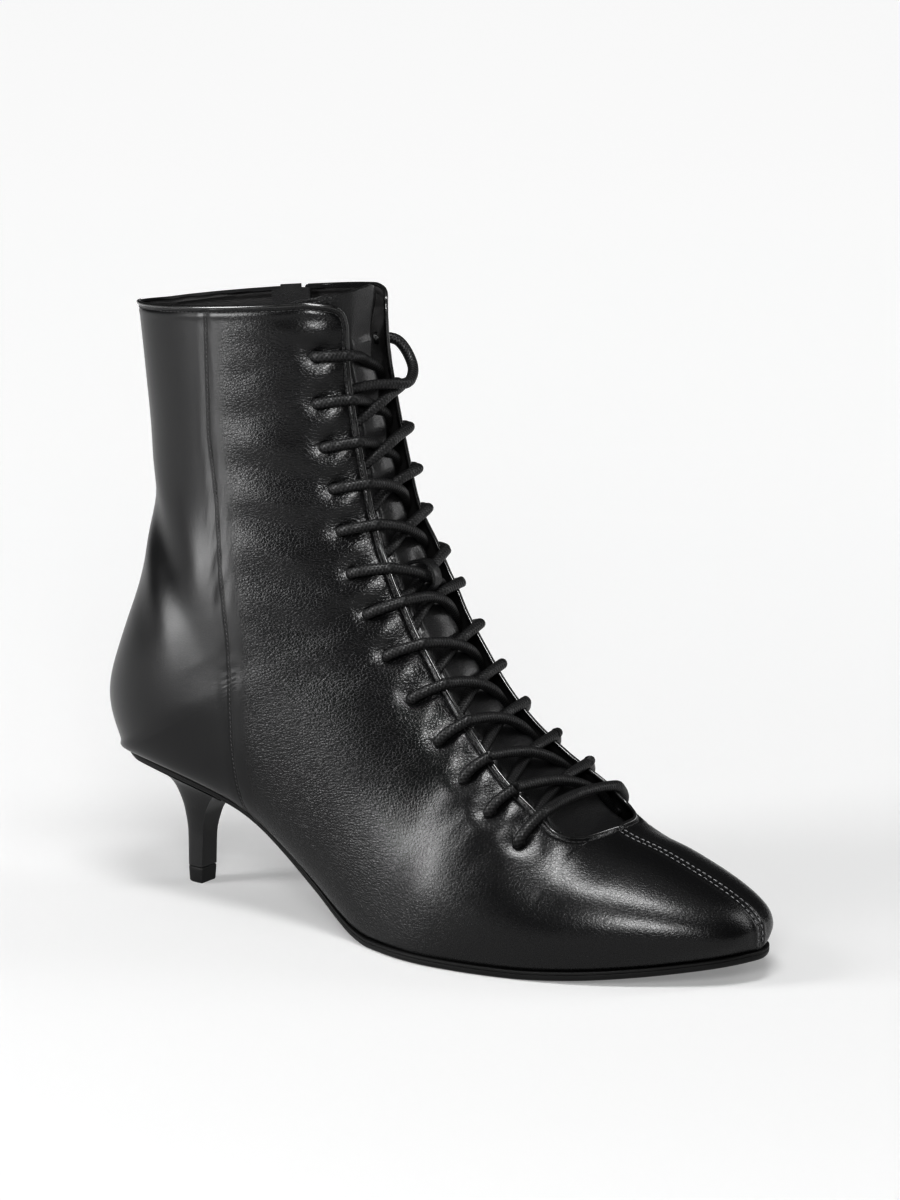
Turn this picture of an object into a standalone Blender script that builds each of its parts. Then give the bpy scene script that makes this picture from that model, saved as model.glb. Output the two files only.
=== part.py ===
"""A women's lace-up ankle boot for the right foot, on a slim kitten heel.

The toe points along -Y, +X is the inner (medial) side, +Z is up, and the boot stands on z = 0.
The upper is one leather shell lofted through fanned sections: each section is a plane that holds
the X direction, a point on the top line and a point on the base line. The planes lean forward at
the toe, turn round the instep and lie almost level at the collar. Sole, insole, heel, tongue,
laces and zip all take their places from the same sections. Lengths inside the tables are shares
of the driving sizes.
"""

import math
from collections import namedtuple

import bmesh
import bpy
from mathutils import Matrix, Vector

# Driving sizes of the boot, in metres
LENGTH = 0.240
BALL_WIDTH = 0.082
HEEL_HEIGHT = 0.0425
UPPER_HEIGHT = 0.158
TOE_SPRING = 0.0065
TOE_SWING = 0.003
COLLAR_TWIST = 0.0006

# Leather, sole and insole
WALL = 0.0018
SOLE_THICKNESS = 0.003
SOLE_EDGE = 0.0012
SOLE_BEVEL = 0.0007
INSOLE_THICKNESS = 0.0025
INSOLE_CLEARANCE = 0.0014
FIT_GAP = 0.0003
LAP_GAP = 0.0007
SEAM_RIDGE = 0.0007
SEAM_HALF_WIDTH = 0.0018

# Heel
STEM_WIDTH = 0.008
STEM_DEPTH = 0.0072
STEM_FROM_BACK = 0.0295
TOP_PIECE_HEIGHT = 0.0052
TOP_PIECE_TAPER = 0.93
SEAT_INSET = 0.0022

# Throat, eyelets and laces
THROAT_HALF_WIDTH = 0.0215
EYELET_ROWS = 13
EYELET_PITCH = 0.0134
EYELET_DIAMETER = 0.0042
EYELET_SETBACK = 0.0110
LACE_DIAMETER = 0.0034
FIRST_EYELET_FROM_THROAT = 0.0165
OVER_FACING = 0.45 * EYELET_SETBACK
LACE_LIFT = 0.0006
LACE_END_CLEARANCE = 0.0012
CROSSING_END = 0.865
LAST_CROSSING_END = 0.78

# Tongue
TONGUE_THICKNESS = 0.002
TONGUE_LAP = 0.012
TONGUE_COLUMNS = 8
KEEPER_WIDTH = 0.0042
KEEPER_LENGTH = 0.0115
KEEPER_FROM_ROW = -0.0013
KEEPER_THICKNESS = 0.0012
KEEPER_CLEARANCE = 0.0004
KEEPER_ROW = 7

# Zip on the inner side
ZIP_SLOT = 0.0084
ZIP_TEETH = 0.0044
ZIP_TAPE = 0.0145
ZIP_TAPE_THICKNESS = 0.0009
ZIP_TEETH_SINK = 0.0006
ZIP_FOOT = 12.4
ZIP_TOP_ALONG = 0.052
ZIP_FOOT_ALONG = 0.0625
TEETH_START = 0.06
TAPE_BELOW_SLOT = 0.15
TAPE_ABOVE_COLLAR = 0.05
SLIDER_LENGTH = 0.0088
SLIDER_WIDTH = 0.0066
SLIDER_THICKNESS = 0.0014
SLIDER_FROM_COLLAR = 0.010
BRIDGE_WIDTH = 0.0024
BRIDGE_HEIGHT = 0.0026
BRIDGE_BAR = 0.0009
BRIDGE_HEAD = 0.0026
BRIDGE_FOOT = -0.0004
BLOCK_OVERLAP = 0.0004
PULL_LENGTH = 0.020
PULL_ARM = 0.0062
PULL_WIDTH = 0.0052
PULL_THICKNESS = 0.0009

# Sections of the upper. Along is a share of LENGTH from the back of the heel, up a share of
# UPPER_HEIGHT, ride a share of HEEL_HEIGHT, widths are shares of BALL_WIDTH. Widest is the share
# of the section's height at which it is widest, and crown the exponent of its top arch.
Section = namedtuple(
    "Section",
    "top_along top_up ride base_along base_up "
    "seat_lateral seat_medial lateral medial widest crown",
)
SECTIONS = [
    Section(1.003, 0.000, 0.00, 1.0030, 0.000, 0.000, 0.000, 0.000, 0.000, 0.36, 2.10),
    Section(1.004, 0.033, 0.00, 0.9950, 0.000, 0.076, 0.083, 0.088, 0.092, 0.36, 2.10),
    Section(0.999, 0.059, 0.00, 0.9730, 0.000, 0.156, 0.168, 0.174, 0.182, 0.34, 2.10),
    Section(0.977, 0.095, 0.00, 0.9375, 0.000, 0.234, 0.250, 0.254, 0.268, 0.30, 2.10),
    Section(0.929, 0.143, 0.00, 0.8875, 0.000, 0.324, 0.330, 0.344, 0.346, 0.28, 2.10),
    Section(0.862, 0.196, 0.00, 0.8210, 0.000, 0.415, 0.398, 0.434, 0.417, 0.26, 2.05),
    Section(0.792, 0.240, 0.00, 0.7420, 0.000, 0.480, 0.451, 0.498, 0.471, 0.24, 2.05),
    Section(0.732, 0.315, 0.03, 0.6580, 0.000, 0.512, 0.459, 0.524, 0.478, 0.22, 2.05),
    Section(0.680, 0.347, 0.12, 0.5750, 0.000, 0.500, 0.412, 0.512, 0.449, 0.25, 2.05),
    Section(0.632, 0.357, 0.30, 0.4870, 0.000, 0.415, 0.300, 0.456, 0.410, 0.30, 2.10),
    Section(0.594, 0.360, 0.50, 0.3920, 0.000, 0.310, 0.215, 0.415, 0.390, 0.35, 2.20),
    Section(0.563, 0.371, 0.70, 0.2830, 0.000, 0.283, 0.222, 0.395, 0.378, 0.38, 2.30),
    Section(0.538, 0.390, 0.85, 0.1670, 0.000, 0.293, 0.262, 0.385, 0.378, 0.38, 2.40),
    Section(0.524, 0.408, 0.95, 0.0770, 0.000, 0.228, 0.220, 0.383, 0.378, 0.37, 2.50),
    Section(0.518, 0.419, 0.98, 0.0360, 0.000, 0.143, 0.139, 0.382, 0.378, 0.36, 2.55),
    Section(0.511, 0.433, 1.00, 0.0140, 0.000, 0.000, 0.000, 0.378, 0.372, 0.36, 2.60),
    Section(0.491, 0.492, 1.00, -0.0100, 0.092, 0.000, 0.000, 0.370, 0.362, 0.40, 2.55),
    Section(0.464, 0.561, 1.00, 0.0110, 0.206, 0.000, 0.000, 0.350, 0.345, 0.44, 2.45),
    Section(0.446, 0.656, 1.00, 0.0430, 0.339, 0.000, 0.000, 0.328, 0.325, 0.50, 2.40),
    Section(0.429, 0.756, 1.00, 0.0630, 0.472, 0.000, 0.000, 0.314, 0.312, 0.54, 2.40),
    Section(0.415, 0.854, 1.00, 0.0635, 0.636, 0.000, 0.000, 0.306, 0.306, 0.57, 2.40),
    Section(0.411, 0.929, 1.00, 0.0530, 0.788, 0.000, 0.000, 0.302, 0.302, 0.58, 2.40),
    Section(0.410, 0.990, 1.00, 0.0420, 0.923, 0.000, 0.000, 0.300, 0.300, 0.58, 2.40),
]
SEAT_BACK = 15
CORNER_START = 21.0
THROAT_FULL = 6.6
COLLAR = len(SECTIONS) - 1
TWIST_START = 17.0
TWIST_REACH = 0.008
BASE_ROUNDNESS = 2.0

# The sole's line from the heel's back to the toe: share of LENGTH, share of HEEL_HEIGHT
SOLE_RIDE = [
    (0.000, 1.000),
    (0.020, 1.000),
    (0.075, 0.985),
    (0.125, 0.955),
    (0.175, 0.905),
    (0.238, 0.800),
    (0.288, 0.670),
    (0.333, 0.505),
    (0.383, 0.305),
    (0.438, 0.115),
    (0.475, 0.030),
    (0.504, 0.000),
    (1.000, 0.000),
]
SPRING_START = 0.733
SPRING_POWER = 1.6

# How far the outsole's edge stands out past the upper: share of LENGTH, share of SOLE_EDGE
SOLE_MARGIN = [(0.00, -1.0), (0.24, -1.0), (0.31, -0.1), (0.37, 0.7), (0.44, 1.0), (1.01, 1.0)]

# Half the throat's opening: section number, share of THROAT_HALF_WIDTH
THROAT = [
    (6.03, 0.03),
    (6.08, 0.42),
    (6.17, 0.68),
    (6.33, 0.88),
    (6.63, 1.00),
    (7.23, 0.99),
    (8.03, 0.92),
    (9.03, 0.77),
    (10.03, 0.70),
    (12.03, 0.67),
    (15.03, 0.68),
    (16.03, 0.66),
    (17.03, 0.57),
    (19.03, 0.54),
    (21.03, 0.49),
    (21.35, 0.51),
    (21.61, 0.56),
    (21.80, 0.66),
    (21.92, 0.80),
    (22.03, 0.96),
    (22.11, 1.00),
    (22.80, 1.00),
]

# The tongue's rows: section number, then the shares of its width kept on either side
TONGUE = [
    (5.3, 0.45, 0.45),
    (5.8, 0.85, 0.85),
    (6.6, 1.00, 1.00),
    (17.0, 1.00, 1.00),
    (20.0, 1.00, 0.85),
    (21.2, 1.00, 0.62),
    (22.0, 0.98, 0.40),
    (22.12, 0.75, 0.20),
]

# The heel's waisting: share of the way down, then shares of the flare that is left behind
# the stem and in front of it
HEEL_LEVELS = [
    (0.00, 1.00, 1.00),
    (0.03, 0.85, 0.88),
    (0.07, 0.67, 0.75),
    (0.14, 0.40, 0.54),
    (0.21, 0.25, 0.38),
    (0.32, 0.14, 0.23),
    (0.46, 0.06, 0.10),
    (0.70, 0.00, 0.02),
    (1.00, 0.00, 0.00),
]
HEEL_BREAST = 11.5
HEEL_POINTS = 16

# How far the cutting plugs stand out of the skin and reach inside it
PLUG_OUTSIDE = 0.004
PLUG_INSIDE = 0.0045

# Mesh fineness
RINGS_PER_SECTION = 2
HALF_RING_POINTS = 12


def material(name, colour, roughness, metallic=0.0):
    """A plain surface in the piece's own colour."""
    made = bpy.data.materials.new(name)
    made.use_nodes = True
    shader = made.node_tree.nodes["Principled BSDF"]
    shader.inputs["Base Color"].default_value = (*colour, 1.0)
    shader.inputs["Roughness"].default_value = roughness
    shader.inputs["Metallic"].default_value = metallic
    return made


def blend(low, high, share):
    return low + (high - low) * share


def catmull_rom(before, start, end, after, share):
    """The smooth curve between start and end, for one number."""
    square = share * share
    cube = square * share
    return 0.5 * (
        2 * start
        + (end - before) * share
        + (2 * before - 5 * start + 4 * end - after) * square
        + (3 * start - before - 3 * end + after) * cube
    )


def read_curve(table, place):
    """Reads a two-column table smoothly, without overshoot, flat past its ends."""
    if place <= table[0][0]:
        return table[0][1]
    if place >= table[-1][0]:
        return table[-1][1]
    index = max(i for i in range(len(table) - 1) if table[i][0] <= place)

    def slope(i):
        return (table[i + 1][1] - table[i][1]) / (table[i + 1][0] - table[i][0])

    def tangent(i):
        if i == 0:
            return slope(0)
        if i == len(table) - 1:
            return slope(i - 1)
        left, right = slope(i - 1), slope(i)
        if left * right <= 0:
            return 0.0
        return 2 * left * right / (left + right)

    (x0, y0), (x1, y1) = table[index], table[index + 1]
    width = x1 - x0
    share = (place - x0) / width
    t0, t1 = tangent(index) * width, tangent(index + 1) * width
    square, cube = share**2, share**3
    return (
        (2 * cube - 3 * square + 1) * y0
        + (cube - 2 * square + share) * t0
        + (3 * square - 2 * cube) * y1
        + (cube - square) * t1
    )


def sole_top(along):
    """Height of the outsole's upper face at a distance from the back of the heel."""
    share = min(max(along / LENGTH, 0.0), 1.0)
    spring = max(0.0, (share - SPRING_START) / (1.0 - SPRING_START)) ** SPRING_POWER
    return SOLE_THICKNESS + HEEL_HEIGHT * read_curve(SOLE_RIDE, share) + TOE_SPRING * spring


def swing(along):
    """How far the centre line has swung towards the inner side."""
    return TOE_SWING * max(0.0, 2 * along / LENGTH - 1.0) ** 2


def section(place):
    """The section at a place between two rows of the table, in metres."""
    index = min(max(int(place), 0), COLLAR - 1)
    share = place - index
    start, end = SECTIONS[index], SECTIONS[index + 1]
    values = {}
    for name in Section._fields:
        first, last = getattr(start, name), getattr(end, name)
        if share > 1.0:
            values[name] = blend(first, last, share)
            continue
        if index > 0:
            before = getattr(SECTIONS[index - 1], name)
        elif name in ("seat_lateral", "seat_medial", "lateral", "medial"):
            before = -last
        else:
            before = last
        after = getattr(SECTIONS[index + 2], name) if index + 2 <= COLLAR else 2 * last - first
        values[name] = catmull_rom(before, first, last, after, share)
    top_along = values["top_along"] * LENGTH
    base_along = values["base_along"] * LENGTH
    spring_rise = sole_top(top_along) - SOLE_THICKNESS if top_along > SPRING_START * LENGTH else 0.0
    base_z = sole_top(base_along) + FIT_GAP + UPPER_HEIGHT * max(0.0, values["base_up"])
    top_z = SOLE_THICKNESS + spring_rise + HEEL_HEIGHT * values["ride"]
    top_z += UPPER_HEIGHT * values["top_up"]
    values["top"] = Vector((swing(top_along), top_along, max(top_z, base_z)))
    values["base"] = Vector((swing(base_along), base_along, base_z))
    for name in ("seat_lateral", "seat_medial", "lateral", "medial"):
        values[name] = max(0.0, values[name]) * BALL_WIDTH
    values["twist"] = COLLAR_TWIST * max(0.0, (place - TWIST_START) / (COLLAR - TWIST_START)) ** 2
    return values


def half_width(values, side, share):
    """Half the section's width at a share of its height. Side is -1 lateral, +1 medial."""
    seat = values["seat_lateral"] if side < 0 else values["seat_medial"]
    wide = values["lateral"] if side < 0 else values["medial"]
    peak = values["widest"]
    if share <= peak:
        rest = 1.0 - share / peak
        return seat + (wide - seat) * (1.0 - rest**BASE_ROUNDNESS) ** (1.0 / BASE_ROUNDNESS)
    rise = min(1.0, (share - peak) / (1.0 - peak))
    power = values["crown"]
    return wide * (1.0 - rise**power) ** (1.0 / power)


def crown_share(values, x):
    """Where on the section's top arch its half width equals the distance x."""
    wide = values["lateral"] if x < 0 else values["medial"]
    power = values["crown"]
    ratio = min(1.0, abs(x) / max(wide, 1e-9))
    peak = values["widest"]
    return peak + (1.0 - peak) * (1.0 - ratio**power) ** (1.0 / power)


def at_share(values, side, share, width):
    """A point of the section. Near the collar the inner quarter's front corner stands higher."""
    point = values["base"].lerp(values["top"], share)
    point.x += side * width
    lean = min(1.0, width / TWIST_REACH) * side
    point.z += values["twist"] * lean * (2.0 * share - 1.0)
    return point


def crown_point(place, x):
    """A point of the outer skin on the top arch, x from the centre line."""
    values = section(place)
    side = -1 if x < 0 else 1
    return at_share(values, side, crown_share(values, x), abs(x))


def side_point(place, side, along):
    """A point of the outer skin on the section's flank, at a distance from the heel's back."""
    values = section(place)
    share = (along - values["base"].y) / (values["top"].y - values["base"].y)
    return at_share(values, side, share, half_width(values, side, share))


def sunk(point, across, upward, outside, depth):
    """The point moved inwards by depth, square to two directions in the skin."""
    normal = across.cross(upward).normalized()
    if normal.dot(outside) < 0:
        normal.negate()
    return point - normal * depth


def crown_skin(place, x, depth=0.0):
    step, reach = 0.02, 0.0004
    values = section(place)
    outside = values["top"] - values["base"]
    across = crown_point(place, x + reach) - crown_point(place, x - reach)
    upward = crown_point(place + step, x) - crown_point(place - step, x)
    return sunk(crown_point(place, x), across, upward, outside, depth)


def side_skin(place, side, along, depth=0.0):
    step, reach = 0.02, 0.0004
    across = side_point(place, side, along + reach) - side_point(place, side, along - reach)
    upward = side_point(place + step, side, along) - side_point(place - step, side, along)
    return sunk(side_point(place, side, along), across, upward, Vector((side, 0, 0)), depth)


def ring(place):
    """One section's outline, from the lateral seat over the top to the medial seat."""
    values = section(place)
    fine = 90
    halves = []
    for side in (-1, 1):
        path = [
            at_share(values, side, share, half_width(values, side, share))
            for share in (0.5 - 0.5 * math.cos(math.pi * i / fine) for i in range(fine + 1))
        ]
        travelled = [0.0]
        for first, last in zip(path, path[1:]):
            travelled.append(travelled[-1] + (last - first).length)
        total = travelled[-1]
        edge = min(SEAM_HALF_WIDTH, total / (HALF_RING_POINTS + 1))
        marks = [(total - edge) * i / HALF_RING_POINTS for i in range(HALF_RING_POINTS + 1)]
        marks.append(total)
        half = []
        index = 0
        for mark in marks:
            while index < fine - 1 and travelled[index + 1] < mark:
                index += 1
            span = max(travelled[index + 1] - travelled[index], 1e-12)
            half.append(path[index].lerp(path[index + 1], (mark - travelled[index]) / span))
        halves.append(half)
    lateral, medial = halves
    if place < THROAT[0][0]:
        rise = (values["top"] - values["base"]).normalized() if place > 0 else Vector((0, 0, 1))
        lateral[-1] += rise * SEAM_RIDGE * min(1.0, place)
    return lateral + medial[-2::-1]


WIDEST_LATERAL = max(row.seat_lateral for row in SECTIONS) * BALL_WIDTH
WIDEST_MEDIAL = max(row.seat_medial for row in SECTIONS) * BALL_WIDTH
CENTRE_SHIFT = Vector((0.5 * (WIDEST_LATERAL - WIDEST_MEDIAL), 0.5 * LENGTH, 0.0))


def world(point):
    """From (across, along, up), measured from the back of the heel, to the boot's own frame."""
    return Vector((point.x + CENTRE_SHIFT.x, CENTRE_SHIFT.y - point.y, point.z))


def add_object(name, mesh_data, finish):
    made = bpy.data.objects.new(name, mesh_data)
    bpy.context.scene.collection.objects.link(made)
    if finish is not None:
        mesh_data.materials.append(finish)
    return made


def finish_mesh(name, work, finish, smooth_angle=40.0):
    """Turns a bmesh into an object with its faces pointing out."""
    bmesh.ops.remove_doubles(work, verts=work.verts, dist=1e-6)
    bmesh.ops.dissolve_degenerate(work, edges=work.edges, dist=1e-6)
    bmesh.ops.recalc_face_normals(work, faces=work.faces)
    mesh_data = bpy.data.meshes.new(name)
    work.to_mesh(mesh_data)
    work.free()
    mesh_data.shade_smooth()
    mesh_data.set_sharp_from_angle(angle=math.radians(smooth_angle))
    return add_object(name, mesh_data, finish)


def skin_rows(work, rows, closed=False):
    """Faces between rows of points. A closed row joins its last point to its first."""
    grid = [[work.verts.new(world(point)) for point in row] for row in rows]
    count = len(rows[0])
    for first, last in zip(grid, grid[1:]):
        for i in range(count if closed else count - 1):
            j = (i + 1) % count
            work.faces.new((first[i], first[j], last[j], last[i]))
    return grid


def loft(name, rows, finish, smooth_angle=40.0):
    """A closed solid through closed rings of points, with flat ends."""
    work = bmesh.new()
    grid = skin_rows(work, rows, closed=True)
    work.faces.new(grid[0][::-1])
    work.faces.new(grid[-1])
    return finish_mesh(name, work, finish, smooth_angle)


def boolean(target, tools, operation):
    """Cuts all the tools from the target in one step, or joins them to it."""
    kit = bpy.data.collections.new(f"{target.name} {operation.lower()}")
    for tool in tools:
        kit.objects.link(tool)
    step = target.modifiers.new(operation.title(), "BOOLEAN")
    step.operation = operation
    step.operand_type = "COLLECTION"
    step.collection = kit
    step.solver = "EXACT"


def hide_tool(tool):
    """Marks an object as a cutter or guide, which isn't part of the boot."""
    tool.hide_render = True
    tool.display_type = "WIRE"
    return tool


def throat_half(place):
    return THROAT_HALF_WIDTH * read_curve(THROAT, place)


def facing_offset(place, side, distance):
    """How far from the centre line a point lies that is this far along the skin from the facing."""
    step = 0.0004
    x = throat_half(min(place, CORNER_START))
    here = crown_point(place, side * x)
    while distance > 0.0:
        x += step
        there = crown_point(place, side * x)
        distance -= (there - here).length
        here = there
    return side * x


def walk_up(place, distance):
    """The section number reached after this distance up the centre line."""
    step = 0.02
    here = crown_point(place, 0.0)
    while distance > 0.0:
        there = crown_point(place + step, 0.0)
        stride = (there - here).length
        place += step * min(1.0, distance / stride)
        distance -= stride
        here = there
    return place


def eyelet_places():
    """Section numbers of the eyelet rows, from the collar down to the throat's foot."""
    found = [walk_up(THROAT[0][0], FIRST_EYELET_FROM_THROAT)]
    while len(found) < EYELET_ROWS:
        found.append(walk_up(found[-1], EYELET_PITCH))
    return found[::-1]


def throat_cutter():
    """A long plug that follows the facings, with a round foot and rounded upper corners."""
    rows = []
    places = []
    for (first, _), (last, _) in zip(THROAT, THROAT[1:]):
        steps = max(1, round((last - first) / 0.5))
        places += [blend(first, last, i / steps) for i in range(steps)]
    places.append(THROAT[-1][0])
    for place in places:
        half = throat_half(place)
        across = [half * share for share in (-1.0, -0.6, 0.0, 0.6, 1.0)]
        outer = [crown_skin(place, x, -PLUG_OUTSIDE) for x in across]
        inner = [crown_skin(place, x, PLUG_INSIDE) for x in reversed(across)]
        rows.append(outer + inner)
    return hide_tool(loft("throat_cutter", rows, None))


def eyelet_cutter(places):
    """One round punch for each eyelet, all in one mesh."""
    work = bmesh.new()
    sides = 8
    for place in places:
        for side in (-1, 1):
            x = facing_offset(place, side, EYELET_SETBACK)
            outer = world(crown_skin(place, x, -PLUG_OUTSIDE))
            inner = world(crown_skin(place, x, PLUG_INSIDE))
            axis = outer - inner
            turn = axis.to_track_quat("Z", "Y").to_matrix().to_4x4()
            bmesh.ops.create_cone(
                work,
                cap_ends=True,
                segments=sides,
                radius1=EYELET_DIAMETER / 2,
                radius2=EYELET_DIAMETER / 2,
                depth=axis.length,
                matrix=Matrix.Translation((outer + inner) / 2) @ turn,
            )
    return hide_tool(finish_mesh("eyelet_cutter", work, None))


def zip_along(place):
    foot, head = ZIP_FOOT, float(COLLAR)
    return blend(ZIP_FOOT_ALONG, ZIP_TOP_ALONG, (place - foot) / (head - foot))



def zip_cutter():
    rows = []
    steps = 16
    for i in range(steps + 1):
        place = blend(ZIP_FOOT, COLLAR + 0.8, i / steps)
        along = zip_along(place)
        half = ZIP_SLOT / 2
        rows.append(
            [
                side_skin(place, 1, along - half, -PLUG_OUTSIDE),
                side_skin(place, 1, along + half, -PLUG_OUTSIDE),
                side_skin(place, 1, along + half, PLUG_INSIDE),
                side_skin(place, 1, along - half, PLUG_INSIDE),
            ]
        )
    return hide_tool(loft("zip_cutter", rows, None))


def make_upper(leather, places):
    """The hollow shell: outer skin, wall inwards, then the throat, eyelets and zip slot."""
    work = bmesh.new()
    count = COLLAR * RINGS_PER_SECTION
    rows = [ring(i / RINGS_PER_SECTION) for i in range(count + 1)]
    skin_rows(work, rows)
    upper = finish_mesh("upper", work, leather)
    wall = upper.modifiers.new("Wall", "SOLIDIFY")
    wall.thickness = WALL
    wall.offset = -1.0
    wall.use_even_offset = True
    wall.use_quality_normals = True
    wall.thickness_clamp = 0.9
    boolean(upper, [throat_cutter(), eyelet_cutter(places), zip_cutter()], "DIFFERENCE")
    return upper


def seat_edge(place, side, outwards):
    """A point of the sole's plan outline, moved outwards from the upper's lower edge."""

    def edge(at):
        values = section(at)
        wide = values["seat_lateral"] if side < 0 else values["seat_medial"]
        return Vector((values["base"].x + side * wide, values["base"].y, 0.0))

    step = 0.05
    here = edge(place)
    if place <= 0.0:
        heading = Vector((0.0, 1.0, 0.0))
    elif place >= SEAT_BACK:
        heading = Vector((0.0, -1.0, 0.0))
    else:
        run = edge(min(place + step, SEAT_BACK)) - edge(max(place - step, 0.0))
        heading = Vector((-run.y, run.x, 0.0)).normalized()
        if heading.x * side < 0:
            heading.negate()
    return here + heading * outwards


def slab_row(place, margin, top, bottom, bevel):
    """A cross-section of a flat layer that follows the sole, as a closed ring."""
    across = 2
    edges = [seat_edge(place, side, margin) for side in (-1, 1)]
    lower = [seat_edge(place, side, margin - bevel) for side in (-1, 1)]
    row = []
    for i in range(across + 1):
        point = edges[0].lerp(edges[1], i / across)
        row.append(Vector((point.x, point.y, sole_top(point.y) + top)))
    for i in range(across + 1):
        point = lower[1].lerp(lower[0], i / across)
        row.append(Vector((point.x, point.y, sole_top(point.y) + bottom)))
    return row


def make_outsole(rubber):
    rows = []
    for i in range(SEAT_BACK * RINGS_PER_SECTION + 1):
        place = i / RINGS_PER_SECTION
        along = section(place)["base"].y
        margin = SOLE_EDGE * read_curve(SOLE_MARGIN, along / LENGTH)
        rows.append(slab_row(place, margin, 0.0, -SOLE_THICKNESS, SOLE_BEVEL))
    return loft("outsole", rows, rubber, 35.0)


def make_insole(lining):
    rows = []
    for i in range(SEAT_BACK * RINGS_PER_SECTION + 1):
        place = i / RINGS_PER_SECTION
        inset = WALL + INSOLE_CLEARANCE
        rows.append(slab_row(place, -inset, FIT_GAP + INSOLE_THICKNESS, FIT_GAP, 0.0))
    return loft("insole", rows, lining, 35.0)


def stem_point(turn, grow=1.0):
    """A point of the heel stem's D section. Turn runs from -1, over 0 at the back, to 1."""
    angle = turn * math.pi / 2
    wide = STEM_WIDTH / 2 * grow
    deep = STEM_DEPTH * grow
    x = wide * math.copysign(abs(math.sin(angle)) ** 0.7, turn) if turn else 0.0
    front = STEM_FROM_BACK + deep / 2
    return Vector((x, front - deep * abs(math.cos(angle)) ** 0.8, 0.0))


def stem_turns():
    return [2 * i / HEEL_POINTS - 1.0 for i in range(HEEL_POINTS + 1)]


def make_heel(lacquer):
    """The seat's outline waisted down to the stem, with a flat breast at the front."""
    foot = TOP_PIECE_HEIGHT + FIT_GAP
    rows = []
    for down, back_flare, front_flare in HEEL_LEVELS:
        row = []
        for turn in stem_turns():
            stem = stem_point(turn)
            side = -1 if turn < 0 else 1
            seat = seat_edge(blend(SEAT_BACK, HEEL_BREAST, abs(turn)), side, -SEAT_INSET)
            flare = blend(back_flare, front_flare, abs(turn))
            along = blend(stem.y, seat.y, flare)
            high = sole_top(blend(STEM_FROM_BACK, seat.y, flare)) - SOLE_THICKNESS - FIT_GAP
            if down == 0.0:
                high = sole_top(seat.y) - SOLE_THICKNESS - FIT_GAP
            row.append(Vector((blend(stem.x, seat.x, back_flare), along, blend(high, foot, down))))
        rows.append(row)
    work = bmesh.new()
    grid = skin_rows(work, rows, closed=True)
    for end in (grid[0], grid[-1]):
        last = len(end) - 1
        for i in range(len(end) // 2):
            corners = [end[i], end[i + 1], end[last - i - 1], end[last - i]]
            work.faces.new(list(dict.fromkeys(corners)))
    return finish_mesh("heel", work, lacquer, 50.0)


def make_top_piece(rubber):
    rows = []
    chamfer = 0.0005
    for height, grow in (
        (0.0, TOP_PIECE_TAPER - 2 * chamfer / STEM_WIDTH),
        (chamfer, TOP_PIECE_TAPER),
        (TOP_PIECE_HEIGHT, 1.0),
    ):
        row = [stem_point(turn, grow) for turn in stem_turns()]
        rows.append([Vector((point.x, point.y, height)) for point in row])
    return loft("heel_top_piece", rows, rubber, 50.0)



def tongue_reach(place, side):
    column = 1 if side < 0 else 2
    share = read_curve([(row[0], row[column]) for row in TONGUE], place)
    return (throat_half(min(max(place, THROAT_FULL), CORNER_START)) + TONGUE_LAP) * share


def make_tongue(leather):
    """A thin curved sheet under the facings, from below the vamp to just above the collar."""
    depth = WALL + LAP_GAP
    columns = TONGUE_COLUMNS
    first, last = TONGUE[0][0], TONGUE[-1][0]
    places = [first]
    places += [i / 2 for i in range(2 * COLLAR + 1) if first + 0.1 < i / 2 < last - 0.1]
    places.append(last)
    rows = []
    for place in places:
        left, right = tongue_reach(place, -1), tongue_reach(place, 1)
        across = [blend(-left, right, j / columns) for j in range(columns + 1)]
        outer = [crown_skin(place, x, depth) for x in across]
        inner = [crown_skin(place, x, depth + TONGUE_THICKNESS) for x in reversed(across)]
        rows.append(outer + inner)
    return loft("tongue", rows, leather, 50.0)


def tube(name, points, radius, finish, sides=6):
    """A cord's straight-sided solid through a few points."""
    rows = []
    for i, point in enumerate(points):
        ahead = points[min(i + 1, len(points) - 1)] - points[max(i - 1, 0)]
        turn = ahead.to_track_quat("Z", "Y")
        rows.append(
            [
                point
                + turn
                @ Vector(
                    (
                        radius * math.cos(2 * math.pi * k / sides),
                        radius * math.sin(2 * math.pi * k / sides),
                        0.0,
                    )
                )
                for k in range(sides)
            ]
        )
    return loft(name, rows, finish, 60.0)


def lace_path(upper_row, lower_row, side, last):
    """One bar: over its own facing, then down across the throat to the other facing."""
    radius = LACE_DIAMETER / 2
    start = side * (throat_half(upper_row) + OVER_FACING)
    end = -side * (throat_half(lower_row) - radius - LACE_END_CLEARANCE)
    high = -(radius + LACE_LIFT)
    low = WALL - radius - 0.0004
    lip = side * (throat_half(upper_row) - 0.001)
    stops = [(0.0, start, high), (0.22, lip, high - 0.0003)]
    stops += [(0.5, blend(lip, end, 0.42), low - 0.0008), (0.73, blend(lip, end, 0.72), low)]
    stops += [(last, end, low)]
    return [
        crown_skin(blend(upper_row, lower_row, share), x, depth) for share, x, depth in stops
    ]


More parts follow.
